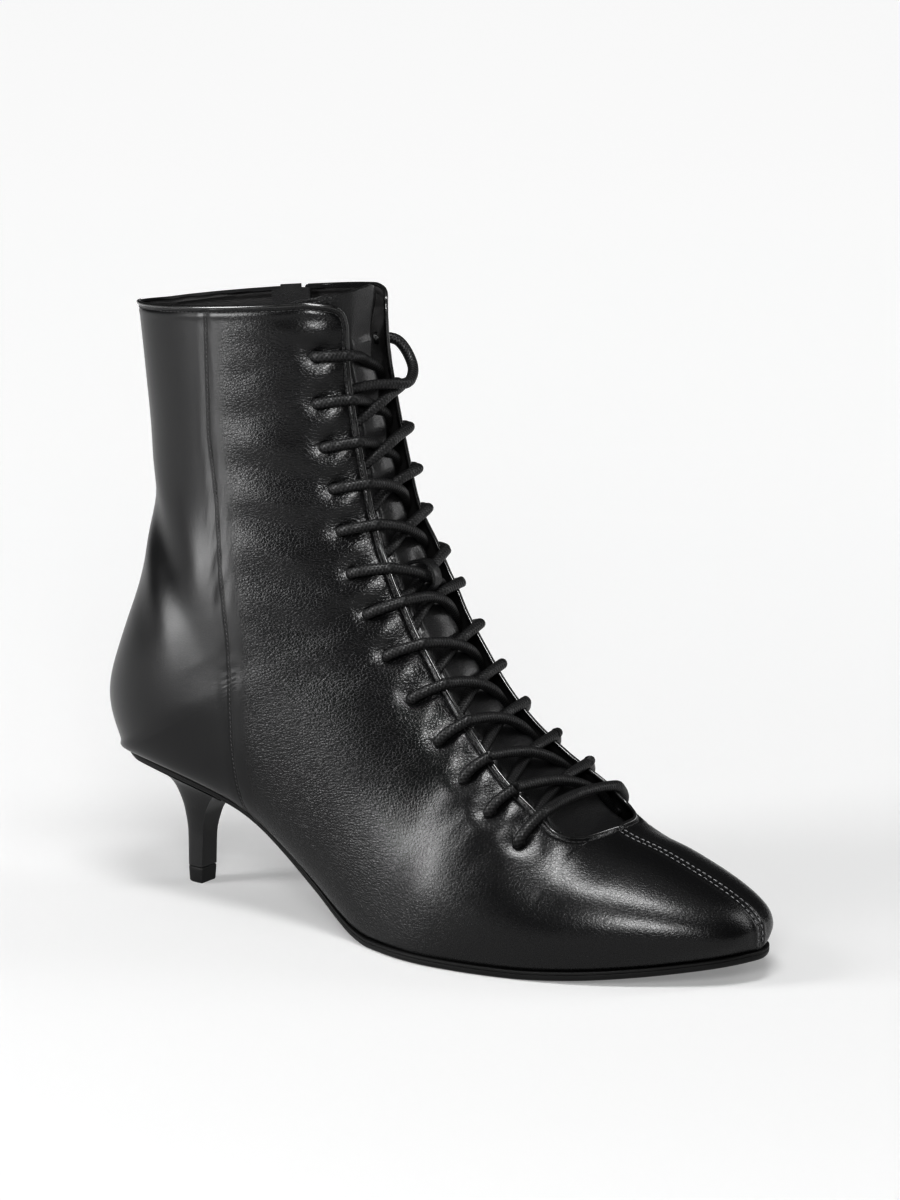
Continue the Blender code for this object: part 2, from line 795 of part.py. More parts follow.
def make_laces(cord, places):
    """A crossing between each pair of rows, and the straight bar at the throat's foot."""
    radius = LACE_DIAMETER / 2
    for row, (upper_row, lower_row) in enumerate(zip(places, places[1:]), start=1):
        name = f"lace_crossing_{row:02d}"
        last = CROSSING_END if row < EYELET_ROWS - 1 else LAST_CROSSING_END
        crossing = tube(name, lace_path(upper_row, lower_row, -1, last), radius, cord)
        other = tube(f"{name}_partner", lace_path(upper_row, lower_row, 1, last), radius, None)
        boolean(crossing, [hide_tool(other)], "UNION")
    last = places[-1]
    reach = throat_half(last) + OVER_FACING
    stops = [reach * share for share in (-1.0, -0.6, -0.2, 0.2, 0.6, 1.0)]
    points = [crown_skin(last, x, -(radius + 0.0008)) for x in stops]
    tube("lace_bar", points, radius, cord)


def make_keeper(leather, places):
    """The small strap sewn on the tongue, which the laces of the sixth row pass under."""
    foot = walk_up(places[KEEPER_ROW], EYELET_PITCH + KEEPER_FROM_ROW)
    half = KEEPER_LENGTH / 2
    base = WALL
    clear = -(2 * LACE_DIAMETER + KEEPER_CLEARANCE)
    profile = [(-1.0, base), (-1.0, 0.35 * clear), (-0.62, clear), (0.62, clear)]
    profile += [(1.0, 0.35 * clear), (1.0, base)]
    inside = [(0.80, base), (0.78, 0.3 * clear), (0.55, clear + KEEPER_THICKNESS)]
    inside += [(-0.55, clear + KEEPER_THICKNESS), (-0.78, 0.3 * clear), (-0.80, base)]
    rows = []
    for x in (-KEEPER_WIDTH / 2, KEEPER_WIDTH / 2):
        rows.append(
            [
                crown_skin(walk_up(foot, half * (1.0 + share)), x, depth)
                for share, depth in profile + inside
            ]
        )
    return loft("tongue_keeper", rows, leather, 50.0)


def make_zip_tape(fabric):
    """The tape behind the slot with the closed teeth standing up in it."""
    back = WALL + LAP_GAP + ZIP_TAPE_THICKNESS
    front = WALL + LAP_GAP
    slot_end, first_tooth = ZIP_FOOT + 0.03, ZIP_FOOT + TEETH_START
    places = [ZIP_FOOT - TAPE_BELOW_SLOT, slot_end, first_tooth]
    places += [i / 2 for i in range(2 * COLLAR + 1) if i / 2 > ZIP_FOOT + 0.2]
    places.append(COLLAR + TAPE_ABOVE_COLLAR)
    rows = []
    for place in places:
        along = zip_along(place)
        teeth = ZIP_TEETH_SINK if place >= first_tooth else front - 0.0001
        profile = [
            (-ZIP_TAPE / 2, back),
            (-ZIP_TAPE / 2, front),
            (-ZIP_TEETH / 2, front),
            (-ZIP_TEETH / 2, teeth),
            (ZIP_TEETH / 2, teeth),
            (ZIP_TEETH / 2, front),
            (ZIP_TAPE / 2, front),
            (ZIP_TAPE / 2, back),
        ]
        rows.append([side_skin(place, 1, along + x, depth) for x, depth in profile])
    return loft("zip_tape", rows, fabric, 30.0)


def box(name, low, high, frame, finish):
    """A block between two corners in a local frame, placed by that frame."""
    mesh_data = bpy.data.meshes.new(name)
    work = bmesh.new()
    centre = (Vector(low) + Vector(high)) / 2
    extent = Vector(high) - Vector(low)
    place = Matrix.Translation(centre) @ Matrix.Diagonal((*extent, 1.0))
    bmesh.ops.create_cube(work, size=1.0, matrix=place)
    work.to_mesh(mesh_data)
    work.free()
    made = add_object(name, mesh_data, finish)
    made.matrix_world = frame
    return made


def slider_frame():
    """Origin on the skin under the slider, X along the boot, Y up the zip, Z outwards."""
    step = 0.05
    place = float(COLLAR)
    while place > ZIP_FOOT:
        gone = side_point(COLLAR, 1, zip_along(COLLAR)) - side_point(place, 1, zip_along(place))
        if gone.length >= SLIDER_FROM_COLLAR + SLIDER_LENGTH / 2:
            break
        place -= step
    here = world(side_point(place, 1, zip_along(place)))
    above = world(side_point(place + step, 1, zip_along(place + step)))
    outer = world(side_skin(place, 1, zip_along(place), -0.001))
    up = (above - here).normalized()
    out = (outer - here).normalized()
    across = up.cross(out).normalized()
    out = across.cross(up).normalized()
    turn = Matrix((across, up, out)).transposed().to_4x4()
    return Matrix.Translation(here) @ turn


def make_slider(metal):
    """The slider's plate and its bridge, which holds the pull's pin."""
    frame = slider_frame()
    floor = FIT_GAP - ZIP_TEETH_SINK
    deck = floor + SLIDER_THICKNESS
    roof = deck + BRIDGE_HEIGHT
    half = SLIDER_LENGTH / 2
    wide = SLIDER_WIDTH / 2
    post = BRIDGE_WIDTH / 2
    slider = box("zip_slider", (-wide, -half, floor), (wide, half, deck), frame, metal)
    sunk_in = deck - BLOCK_OVERLAP
    head, foot = BRIDGE_HEAD + BRIDGE_BAR, BRIDGE_FOOT - BRIDGE_BAR
    blocks = []
    for name, low, high in (
        ("bridge_head", (-post, BRIDGE_HEAD, sunk_in), (post, head, roof)),
        ("bridge_foot", (-post, foot, sunk_in), (post, BRIDGE_FOOT, roof)),
        ("bridge_roof", (-post, foot, roof - BRIDGE_BAR), (post, head, roof)),
    ):
        blocks.append(hide_tool(box(name, low, high, frame, None)))
    boolean(slider, blocks, "UNION")
    lift = FIT_GAP + PULL_THICKNESS / 2
    pin = Vector((0.0, BRIDGE_FOOT + lift, deck + lift))
    return slider, frame @ Matrix.Translation(pin)


def make_pull(metal, frame):
    """The pull: a pin through the bridge, two arms and a long tab that hangs down."""
    thick = PULL_THICKNESS / 2
    inner = BRIDGE_WIDTH / 2 + FIT_GAP
    outer = PULL_WIDTH / 2
    neck = -PULL_ARM
    pull = box("zip_pull", (-outer, -thick, -thick), (outer, thick, thick), frame, metal)
    blocks = []
    for name, low, high in (
        ("arm_front", (-outer, neck - BLOCK_OVERLAP, -thick), (-inner, thick, thick)),
        ("arm_back", (inner, neck - BLOCK_OVERLAP, -thick), (outer, thick, thick)),
        ("tab", (-outer, -PULL_LENGTH, -thick), (outer, neck, thick)),
    ):
        blocks.append(hide_tool(box(name, low, high, frame, None)))
    boolean(pull, blocks, "UNION")
    return pull


def main():
    for leftover in list(bpy.data.objects):
        bpy.data.objects.remove(leftover, do_unlink=True)
    leather = material("black smooth leather", (0.022, 0.022, 0.024), 0.38)
    tongue_leather = material("black tongue leather", (0.02, 0.02, 0.022), 0.45)
    lining = material("dark lining", (0.05, 0.048, 0.048), 0.6)
    rubber = material("black sole rubber", (0.018, 0.018, 0.018), 0.55)
    lacquer = material("black covered heel", (0.02, 0.02, 0.02), 0.35)
    cord = material("waxed black cord", (0.015, 0.015, 0.015), 0.45)
    fabric = material("black zip tape", (0.02, 0.02, 0.02), 0.7)
    metal = material("dark zip metal", (0.12, 0.12, 0.125), 0.35, 1.0)
    places = eyelet_places()
    make_upper(leather, places)
    make_outsole(rubber)
    make_insole(lining)
    make_heel(lacquer)
    make_top_piece(rubber)
    make_tongue(tongue_leather)
    make_keeper(tongue_leather, places)
    make_laces(cord, places)
    make_zip_tape(fabric)
    _, pin_frame = make_slider(metal)
    make_pull(metal, pin_frame)


main()
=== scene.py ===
# %% [markdown]
# A lace-up ankle boot
#
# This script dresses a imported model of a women's ankle boot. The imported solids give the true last,
# the wall, the sole and the heel. Here every visible piece gets its finish: grained leather with
# soft creases, turned edges, seams with real stitches, a waxed cord, a zip and a covered heel.
# All lengths are in metres, the toe points along -Y and +X is the inner side of this right boot.

import math
from collections import namedtuple

import bmesh
import bpy
import numpy as np
from mathutils import Matrix, Vector
from mathutils.bvhtree import BVHTree
from mathutils.kdtree import KDTree


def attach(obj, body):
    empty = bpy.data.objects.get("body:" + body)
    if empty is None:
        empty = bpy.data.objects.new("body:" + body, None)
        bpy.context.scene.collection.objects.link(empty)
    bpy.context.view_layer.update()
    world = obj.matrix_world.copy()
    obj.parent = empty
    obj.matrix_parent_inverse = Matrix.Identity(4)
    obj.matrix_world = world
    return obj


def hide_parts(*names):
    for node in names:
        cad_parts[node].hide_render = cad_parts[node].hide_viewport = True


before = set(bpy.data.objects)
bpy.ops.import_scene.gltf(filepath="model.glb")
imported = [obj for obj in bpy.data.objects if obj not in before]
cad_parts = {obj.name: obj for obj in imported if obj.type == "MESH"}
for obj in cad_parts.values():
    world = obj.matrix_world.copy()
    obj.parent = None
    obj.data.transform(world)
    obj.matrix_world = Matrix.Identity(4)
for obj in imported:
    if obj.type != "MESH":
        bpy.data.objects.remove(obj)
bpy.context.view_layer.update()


# %% [markdown]
# The camera
#
# The photograph was taken with a long lens, from the outer side and a little above, so the toe
# points to the lower right. The lens's angle and distance were worked out from the boot's known
# points: toe, heel, collar and eyelets.

# %% Camera
TURN = math.radians(56.3)
TILT = math.radians(12.79)
DISTANCE = 1.800
AIM = Vector((0.0022, -0.0079, 0.1065))
LENS = 171.5

away = Vector((-math.sin(TURN) * math.cos(TILT), -math.cos(TURN) * math.cos(TILT), math.sin(TILT)))
camera_data = bpy.data.cameras.new("camera")
camera_data.lens = LENS
camera_data.sensor_fit = "VERTICAL"
camera_data.sensor_height = 36.0
camera_data.clip_start = 0.05
camera = bpy.data.objects.new("camera", camera_data)
bpy.context.scene.collection.objects.link(camera)
camera.location = AIM + away * DISTANCE
camera.rotation_euler = away.to_track_quat("Z", "Y").to_euler()
bpy.context.scene.camera = camera

# %% [markdown]
# Studio light
#
# Black leather shows only what it mirrors, so the light is made of soft panels: a tall one on the
# left for the heel panel's even grey, one above and a square one beside the camera for the streak
# along the toe, and a narrow one on the right that draws the facings' rolled edges.


# %% Floor, world and lights
def light_panel(name, place, aim, width, height, power):
    bpy.ops.object.light_add(type="AREA", location=place)
    light = bpy.context.object
    light.name = name
    light.data.shape = "RECTANGLE"
    light.data.size = width
    light.data.size_y = height
    light.data.energy = power
    light.rotation_euler = (Vector(place) - Vector(aim)).to_track_quat("Z", "Y").to_euler()


MIDDLE = (0.0, 0.0, 0.1)
light_panel("left panel", (-0.95, 0.95, 0.55), MIDDLE, 0.45, 1.3, 25.0)
light_panel("top panel", (-0.32, -0.22, 1.3), (0.0, -0.06, 0.05), 0.55, 0.30, 14.0)
light_panel("right panel", (0.95, -0.85, 0.7), MIDDLE, 0.25, 1.2, 7.0)
light_panel("front panel", (-1.15, -0.72, 0.74), (0.0, -0.08, 0.05), 0.45, 0.45, 18.0)
bpy.ops.object.light_add(type="SUN", location=(0.0, 0.0, 2.0))
sky = bpy.context.object
sky.name = "overhead dome"
sky.data.energy = 0.5
sky.data.angle = math.radians(70.0)
sky.rotation_euler = Vector((-0.10, 0.10, 1.0)).to_track_quat("Z", "Y").to_euler()

bpy.context.scene.view_settings.view_transform = "Standard"
bpy.context.scene.view_settings.gamma = 0.70
world = bpy.data.worlds.new("studio")
world.use_nodes = True
world.node_tree.nodes["Background"].inputs["Color"].default_value = (0.95, 0.96, 0.97, 1.0)
world.node_tree.nodes["Background"].inputs["Strength"].default_value = 0.09
bpy.context.scene.world = world

bpy.ops.mesh.primitive_plane_add(size=12.0, location=(0.0, 0.0, 0.0))
floor = bpy.context.object
floor.name = "floor"

# %% [markdown]
# Shader maths
#
# A finish is a small formula: grain where the leather is soft, a dark line of painted shade where
# a seam's groove runs. The class below wraps a node's socket, so such a formula is written as plain
# maths and each operator adds its own Math node.


# %% Shader maths
class Wire:
    """A node's output that can be added, multiplied and compared like a number."""

    def __init__(self, tree, socket):
        self.tree = tree
        self.socket = socket

    def _math(self, operation, *values, clamp=False):
        node = self.tree.nodes.new("ShaderNodeMath")
        node.operation = operation
        node.use_clamp = clamp
        for slot, value in zip(node.inputs, values):
            if isinstance(value, Wire):
                self.tree.links.new(value.socket, slot)
            else:
                slot.default_value = value
        return Wire(self.tree, node.outputs[0])

    def __add__(self, other):
        return self._math("ADD", self, other)

    def __radd__(self, other):
        return self._math("ADD", other, self)

    def __sub__(self, other):
        return self._math("SUBTRACT", self, other)

    def __rsub__(self, other):
        return self._math("SUBTRACT", other, self)

    def __mul__(self, other):
        return self._math("MULTIPLY", self, other)

    def __rmul__(self, other):
        return self._math("MULTIPLY", other, self)

    def __pow__(self, other):
        return self._math("POWER", self, other)

    def __abs__(self):
        return self._math("ABSOLUTE", self)

    def wave(self):
        return self._math("SINE", self)

    def held(self):
        return self._math("ADD", self, 0.0, clamp=True)

    def ramp(self, low, high):
        """0 below low, 1 above high, and soft between."""
        return ((self - low) * (1.0 / (high - low))).held()


class Finish:
    """One material and the calls that add nodes to it."""

    def __init__(self, name, **constants):
        self.material = bpy.data.materials.new(name)
        self.material.use_nodes = True
        self.tree = self.material.node_tree
        self.shader = self.tree.nodes["Principled BSDF"]
        for key, value in constants.items():
            socket = self.shader.inputs[key.replace("_", " ")]
            socket.default_value = (*value, 1.0) if isinstance(value, tuple) else value

    def node(self, kind, settings=None, output=0, **sockets):
        made = self.tree.nodes.new(kind)
        for key, value in (settings or {}).items():
            setattr(made, key, value)
        for key, value in sockets.items():
            slot = made.inputs[key.replace("_", " ")]
            if isinstance(value, Wire):
                self.tree.links.new(value.socket, slot)
            else:
                slot.default_value = value
        return Wire(self.tree, made.outputs[output])

    def place(self):
        return self.node("ShaderNodeTexCoord", output="Object")

    def measure(self, name):
        """A number that the mesh carries on its points."""
        return self.node("ShaderNodeAttribute", {"attribute_name": name}, output="Fac")

    def noise(self, scale, detail=2.0, roughness=0.5, vector=None):
        where = vector or self.place()
        return self.node(
            "ShaderNodeTexNoise", Vector=where, Scale=scale, Detail=detail, Roughness=roughness
        )

    def pebbles(self, scale, vector=None):
        """Leather's cells: 0 in the cracks and 1 on top of each pebble."""
        where = vector or self.place()
        cells = self.node(
            "ShaderNodeTexVoronoi",
            {"feature": "DISTANCE_TO_EDGE"},
            Vector=where,
            Scale=scale,
        )
        return (cells * 3.0).held() ** 0.5

    def stretched(self, scale):
        """Object coordinates with each axis scaled by its own number."""
        return self.node("ShaderNodeMapping", Vector=self.place(), Scale=scale)

    def colours(self, share, low, high):
        made = self.tree.nodes.new("ShaderNodeMix")
        made.data_type = "RGBA"
        self.tree.links.new(share.socket, made.inputs[0])
        made.inputs[6].default_value = (*low, 1.0)
        made.inputs[7].default_value = (*high, 1.0)
        return Wire(self.tree, made.outputs[2])

    def feed(self, name, wire):
        self.tree.links.new(wire.socket, self.shader.inputs[name])

    def tint(self, share, low, high):
        self.feed("Base Color", self.colours(share, low, high))

    def relief(self, height, distance):
        """Height runs from 0 to about 1, distance is what 1 stands for in metres."""
        self.feed("Normal", self.node("ShaderNodeBump", Height=height, Distance=distance))


# %% [markdown]
# The last
#
# A last is the wooden foot that a boot is pulled over. Its form is a row of fanned sections: each
# is a plane that holds the sideways direction, a point on the top line and a point on the base
# line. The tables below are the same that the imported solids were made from, so the fine leather
# lies exactly where the solid's does.

# %% Sizes and sections of the last
LENGTH = 0.240
BALL_WIDTH = 0.082
HEEL_HEIGHT = 0.0425
UPPER_HEIGHT = 0.158
TOE_SPRING = 0.0065
TOE_SWING = 0.003
COLLAR_TWIST = 0.0006
WALL = 0.0018
SOLE_THICKNESS = 0.003
SOLE_EDGE = 0.0012
GAP = 0.0003
THROAT_HALF_WIDTH = 0.0215
EYELET_ROWS = 13
EYELET_PITCH = 0.0134
EYELET_SETBACK = 0.0110
FIRST_EYELET = 0.0165

Section = namedtuple(
    "Section",
    "top_along top_up ride base_along base_up "
    "seat_lateral seat_medial lateral medial widest crown",
)
SECTIONS = [
    Section(1.003, 0.000, 0.00, 1.0030, 0.000, 0.000, 0.000, 0.000, 0.000, 0.36, 2.10),
    Section(1.004, 0.033, 0.00, 0.9950, 0.000, 0.076, 0.083, 0.088, 0.092, 0.36, 2.10),
    Section(0.999, 0.059, 0.00, 0.9730, 0.000, 0.156, 0.168, 0.174, 0.182, 0.34, 2.10),
    Section(0.977, 0.095, 0.00, 0.9375, 0.000, 0.234, 0.250, 0.254, 0.268, 0.30, 2.10),
    Section(0.929, 0.143, 0.00, 0.8875, 0.000, 0.324, 0.330, 0.344, 0.346, 0.28, 2.10),
    Section(0.862, 0.196, 0.00, 0.8210, 0.000, 0.415, 0.398, 0.434, 0.417, 0.26, 2.05),
    Section(0.792, 0.240, 0.00, 0.7420, 0.000, 0.480, 0.451, 0.498, 0.471, 0.24, 2.05),
    Section(0.732, 0.315, 0.03, 0.6580, 0.000, 0.512, 0.459, 0.524, 0.478, 0.22, 2.05),
    Section(0.680, 0.347, 0.12, 0.5750, 0.000, 0.500, 0.412, 0.512, 0.449, 0.25, 2.05),
    Section(0.632, 0.357, 0.30, 0.4870, 0.000, 0.415, 0.300, 0.456, 0.410, 0.30, 2.10),
    Section(0.594, 0.360, 0.50, 0.3920, 0.000, 0.310, 0.215, 0.415, 0.390, 0.35, 2.20),
    Section(0.563, 0.371, 0.70, 0.2830, 0.000, 0.283, 0.222, 0.395, 0.378, 0.38, 2.30),
    Section(0.538, 0.390, 0.85, 0.1670, 0.000, 0.293, 0.262, 0.385, 0.378, 0.38, 2.40),
    Section(0.524, 0.408, 0.95, 0.0770, 0.000, 0.228, 0.220, 0.383, 0.378, 0.37, 2.50),
    Section(0.518, 0.419, 0.98, 0.0360, 0.000, 0.143, 0.139, 0.382, 0.378, 0.36, 2.55),
    Section(0.511, 0.433, 1.00, 0.0140, 0.000, 0.000, 0.000, 0.378, 0.372, 0.36, 2.60),
    Section(0.491, 0.492, 1.00, -0.0100, 0.092, 0.000, 0.000, 0.370, 0.362, 0.40, 2.55),
    Section(0.464, 0.561, 1.00, 0.0110, 0.206, 0.000, 0.000, 0.350, 0.345, 0.44, 2.45),
    Section(0.446, 0.656, 1.00, 0.0430, 0.339, 0.000, 0.000, 0.328, 0.325, 0.50, 2.40),
    Section(0.429, 0.756, 1.00, 0.0630, 0.472, 0.000, 0.000, 0.314, 0.312, 0.54, 2.40),
    Section(0.415, 0.854, 1.00, 0.0635, 0.636, 0.000, 0.000, 0.306, 0.306, 0.57, 2.40),
    Section(0.411, 0.929, 1.00, 0.0530, 0.788, 0.000, 0.000, 0.302, 0.302, 0.58, 2.40),
    Section(0.410, 0.990, 1.00, 0.0420, 0.923, 0.000, 0.000, 0.300, 0.300, 0.58, 2.40),
]
SEAT_BACK = 15
COLLAR = len(SECTIONS) - 1
THROAT_FOOT = 6.03
SOLE_RIDE = [
    (0.000, 1.000),
    (0.020, 1.000),
    (0.075, 0.985),
    (0.125, 0.955),
    (0.175, 0.905),
    (0.238, 0.800),
    (0.288, 0.670),
    (0.333, 0.505),
    (0.383, 0.305),
    (0.438, 0.115),
    (0.475, 0.030),
    (0.504, 0.000),
    (1.000, 0.000),
]
THROAT = [
    (6.03, 0.00),
    (6.08, 0.42),
    (6.17, 0.68),
    (6.33, 0.88),
    (6.63, 1.00),
    (7.23, 0.99),
    (8.03, 0.92),
    (9.03, 0.77),
    (10.03, 0.70),
    (12.03, 0.67),
    (15.03, 0.68),
    (16.03, 0.66),
    (17.03, 0.57),
    (19.03, 0.54),
    (21.03, 0.49),
    (21.35, 0.51),
    (21.61, 0.56),
    (21.80, 0.66),
    (21.92, 0.80),
    (22.03, 0.96),
]


# %% Reading the tables
def blend(low, high, share):
    return low + (high - low) * share


def soft_step(share):
    share = np.clip(share, 0.0, 1.0)
    return share * share * (3.0 - 2.0 * share)


def catmull_rom(before, start, end, after, share):
    square = share * share
    cube = square * share
    return 0.5 * (
        2 * start
        + (end - before) * share
        + (2 * before - 5 * start + 4 * end - after) * square
        + (3 * start - before - 3 * end + after) * cube
    )


def read_curve(table, place):
    """Reads a two-column table smoothly, without overshoot, flat past its ends."""
    if place <= table[0][0]:
        return table[0][1]
    if place >= table[-1][0]:
        return table[-1][1]
    index = max(i for i in range(len(table) - 1) if table[i][0] <= place)
    slopes = [(b[1] - a[1]) / (b[0] - a[0]) for a, b in zip(table, table[1:])]

    def tangent(i):
        if i == 0:
            return slopes[0]
        if i == len(table) - 1:
            return slopes[-1]
        left, right = slopes[i - 1], slopes[i]
        return 0.0 if left * right <= 0 else 2 * left * right / (left + right)

    (x0, y0), (x1, y1) = table[index], table[index + 1]
    width = x1 - x0
    share = (place - x0) / width
    t0, t1 = tangent(index) * width, tangent(index + 1) * width
    square, cube = share**2, share**3
    return (
        (2 * cube - 3 * square + 1) * y0
        + (cube - 2 * square + share) * t0
        + (3 * square - 2 * cube) * y1
        + (cube - square) * t1
    )


def sole_top(along):
    share = min(max(along / LENGTH, 0.0), 1.0)
    spring = max(0.0, (share - 0.733) / 0.267) ** 1.6
    return SOLE_THICKNESS + HEEL_HEIGHT * read_curve(SOLE_RIDE, share) + TOE_SPRING * spring


def swing(along):
    return TOE_SWING * max(0.0, 2 * along / LENGTH - 1.0) ** 2


def section(place):
    """The section at a place between two rows of the table, in metres."""
    index = min(max(int(place), 0), COLLAR - 1)
    share = place - index
    start, end = SECTIONS[index], SECTIONS[index + 1]
    values = {}
    for name in Section._fields:
        first, last = getattr(start, name), getattr(end, name)
        if share > 1.0:
            values[name] = blend(first, last, share)
            continue
        if index > 0:
            before = getattr(SECTIONS[index - 1], name)
        elif name in ("seat_lateral", "seat_medial", "lateral", "medial"):
            before = -last
        else:
            before = last
        after = getattr(SECTIONS[index + 2], name) if index + 2 <= COLLAR else 2 * last - first
        values[name] = catmull_rom(before, first, last, after, share)
    top_along = values["top_along"] * LENGTH
    base_along = values["base_along"] * LENGTH
    rise = sole_top(top_along) - SOLE_THICKNESS if top_along > 0.733 * LENGTH else 0.0
    base_z = sole_top(base_along) + GAP + UPPER_HEIGHT * max(0.0, values["base_up"])
    top_z = SOLE_THICKNESS + rise + HEEL_HEIGHT * values["ride"] + UPPER_HEIGHT * values["top_up"]
    values["top"] = Vector((swing(top_along), top_along, max(top_z, base_z)))
    values["base"] = Vector((swing(base_along), base_along, base_z))
    for name in ("seat_lateral", "seat_medial", "lateral", "medial"):
        values[name] = max(0.0, values[name]) * BALL_WIDTH
    values["twist"] = COLLAR_TWIST * max(0.0, (place - 17.0) / (COLLAR - 17.0)) ** 2
    return values


def half_width(values, side, share):
    seat = values["seat_lateral"] if side < 0 else values["seat_medial"]
    wide = values["lateral"] if side < 0 else values["medial"]
    peak = values["widest"]
    if share <= peak:
        rest = 1.0 - share / peak
        return seat + (wide - seat) * (1.0 - rest**2.0) ** 0.5
    rise = min(1.0, (share - peak) / (1.0 - peak))
    return wide * (1.0 - rise ** values["crown"]) ** (1.0 / values["crown"])


def crown_share(values, x):
    wide = values["lateral"] if x < 0 else values["medial"]
    power = values["crown"]
    ratio = min(1.0, abs(x) / max(wide, 1e-9))
    peak = values["widest"]
    return peak + (1.0 - peak) * (1.0 - ratio**power) ** (1.0 / power)


def at_share(values, side, share, width):
    point = values["base"].lerp(values["top"], share)
    point.x += side * width
    lean = min(1.0, width / 0.008) * side
    point.z += values["twist"] * lean * (2.0 * share - 1.0)
    return point


def crown_point(place, x):
    values = section(place)
    return at_share(values, -1 if x < 0 else 1, crown_share(values, x), abs(x))


def side_point(place, side, along):
    values = section(place)
    share = (along - values["base"].y) / (values["top"].y - values["base"].y)
    return at_share(values, side, share, half_width(values, side, share))


def sunk(point, across, upward, outside, depth):
    normal = across.cross(upward).normalized()
    if normal.dot(outside) < 0:
        normal.negate()
    return point - normal * depth


def crown_skin(place, x, depth=0.0):
    """A point on the top arch, x from the centre line and depth under the outer skin."""
    step, reach = 0.02, 0.0004
    values = section(place)
    across = crown_point(place, x + reach) - crown_point(place, x - reach)
    upward = crown_point(place + step, x) - crown_point(place - step, x)
    return sunk(crown_point(place, x), across, upward, values["top"] - values["base"], depth)


def side_skin(place, side, along, depth=0.0):
    step, reach = 0.02, 0.0004
    across = side_point(place, side, along + reach) - side_point(place, side, along - reach)
    upward = side_point(place + step, side, along) - side_point(place - step, side, along)
    return sunk(side_point(place, side, along), across, upward, Vector((side, 0, 0)), depth)


CENTRE = Vector(
    (
        0.5 * BALL_WIDTH * (max(r.seat_lateral for r in SECTIONS) - max(r.seat_medial for r in SECTIONS)),
        0.5 * LENGTH,
        0.0,
    )
)


def world_point(point):
    """From (across, along, up), measured from the heel's back, to the model's frame."""
    return Vector((point[0] + CENTRE.x, CENTRE.y - point[1], point[2]))


def throat_half(place):
    return THROAT_HALF_WIDTH * read_curve(THROAT, place)


def facing_offset(place, side, distance):
    """The x of a point that lies this far along the skin from the facing."""
    step = 0.0004
    x = throat_half(min(place, 21.0))
    here = crown_point(place, side * x)
    while distance > 0.0:
        x += step
        there = crown_point(place, side * x)
        distance -= (there - here).length
        here = there
    return side * x


def walk_up(place, distance):
    step = 0.02
    here = crown_point(place, 0.0)
    while distance > 0.0:
        there = crown_point(place + step, 0.0)
        stride = (there - here).length
        place += step * min(1.0, distance / stride)
        distance -= stride
        here = there
    return place


ROWS = [walk_up(THROAT_FOOT, FIRST_EYELET)]
while len(ROWS) < EYELET_ROWS:
    ROWS.append(walk_up(ROWS[-1], EYELET_PITCH))
ROWS.reverse()
print("eyelet rows at sections", [round(place, 2) for place in ROWS])


# %% [markdown]
# Meshes from rows of points
#
# Lofted leather can't be pushed out of a box by hand, so its faces are laid between rows of points
# on the last. Everything small and hard, such as the zip's parts, is modelled with operators.


# %% Mesh helpers
def deselect():
    if bpy.context.mode != "OBJECT":
        bpy.ops.object.mode_set(mode="OBJECT")
    bpy.ops.object.select_all(action="DESELECT")


def activate(piece):
    deselect()
    piece.select_set(True)
    bpy.context.view_layer.objects.active = piece


def apply_all(piece):
    activate(piece)
    for step in list(piece.modifiers):
        bpy.ops.object.modifier_apply(modifier=step.name)


def smooth(piece, degrees=40.0):
    activate(piece)
    bpy.ops.object.shade_smooth_by_angle(angle=math.radians(degrees))


def new_piece(name, work, finishes, degrees=40.0):
    """Turns a bmesh into a named object with its faces pointing out."""
    bmesh.ops.remove_doubles(work, verts=work.verts, dist=1e-6)
    bmesh.ops.recalc_face_normals(work, faces=work.faces)
    data = bpy.data.meshes.new(name)
    work.to_mesh(data)
    work.free()
    piece = bpy.data.objects.new(name, data)
    bpy.context.scene.collection.objects.link(piece)
    for finish in finishes:
        data.materials.append(finish.material)
    smooth(piece, degrees)
    return piece


def lay_rows(work, rows, closed=False, measures=None):
    """Faces between rows of points. Measures are named numbers, one for each point."""
    layers = {name: work.verts.layers.float.new(name) for name in (measures or {})}
    grid = []
    for i, row in enumerate(rows):
        made = []
        for j, point in enumerate(row):
            vertex = work.verts.new(world_point(point))
            for name, layer in layers.items():
                vertex[layer] = measures[name][i][j]
            made.append(vertex)
        grid.append(made)
    count = len(rows[0])
    for first, last in zip(grid, grid[1:]):
        for i in range(count if closed else count - 1):
            j = (i + 1) % count
            work.faces.new((first[i], first[j], last[j], last[i]))
    return grid


def loft(name, rows, finishes, degrees=40.0):
    work = bmesh.new()
    grid = lay_rows(work, rows, closed=True)
    work.faces.new(grid[0][::-1])
    work.faces.new(grid[-1])
    return new_piece(name, work, finishes, degrees)


def lengths_along(points):
    """How far each point of a line lies from its first one, along the line."""
    travelled = [0.0]
    for first, last in zip(points, points[1:]):
        travelled.append(travelled[-1] + (last - first).length)
    return travelled


def resample(points, spacing):
    """The same line with its points evenly spaced."""
    points = [Vector(point) for point in points]
    travelled = lengths_along(points)
    count = max(2, round(travelled[-1] / spacing))
    made = []
    index = 0
    for i in range(count + 1):
        mark = travelled[-1] * i / count
        while index < len(points) - 2 and travelled[index + 1] < mark:
            index += 1
        span = max(travelled[index + 1] - travelled[index], 1e-12)
        made.append(points[index].lerp(points[index + 1], (mark - travelled[index]) / span))
    return made


def rounded(points, steps=12):
    """A smooth line through the points."""
    points = [Vector(point) for point in points]
    ends = [2 * points[0] - points[1], *points, 2 * points[-1] - points[-2]]
    made = []
    for i in range(1, len(ends) - 2):
        for k in range(steps):
            made.append(catmull_rom(ends[i - 1], ends[i], ends[i + 1], ends[i + 2], k / steps))
    made.append(points[-1])
    return made
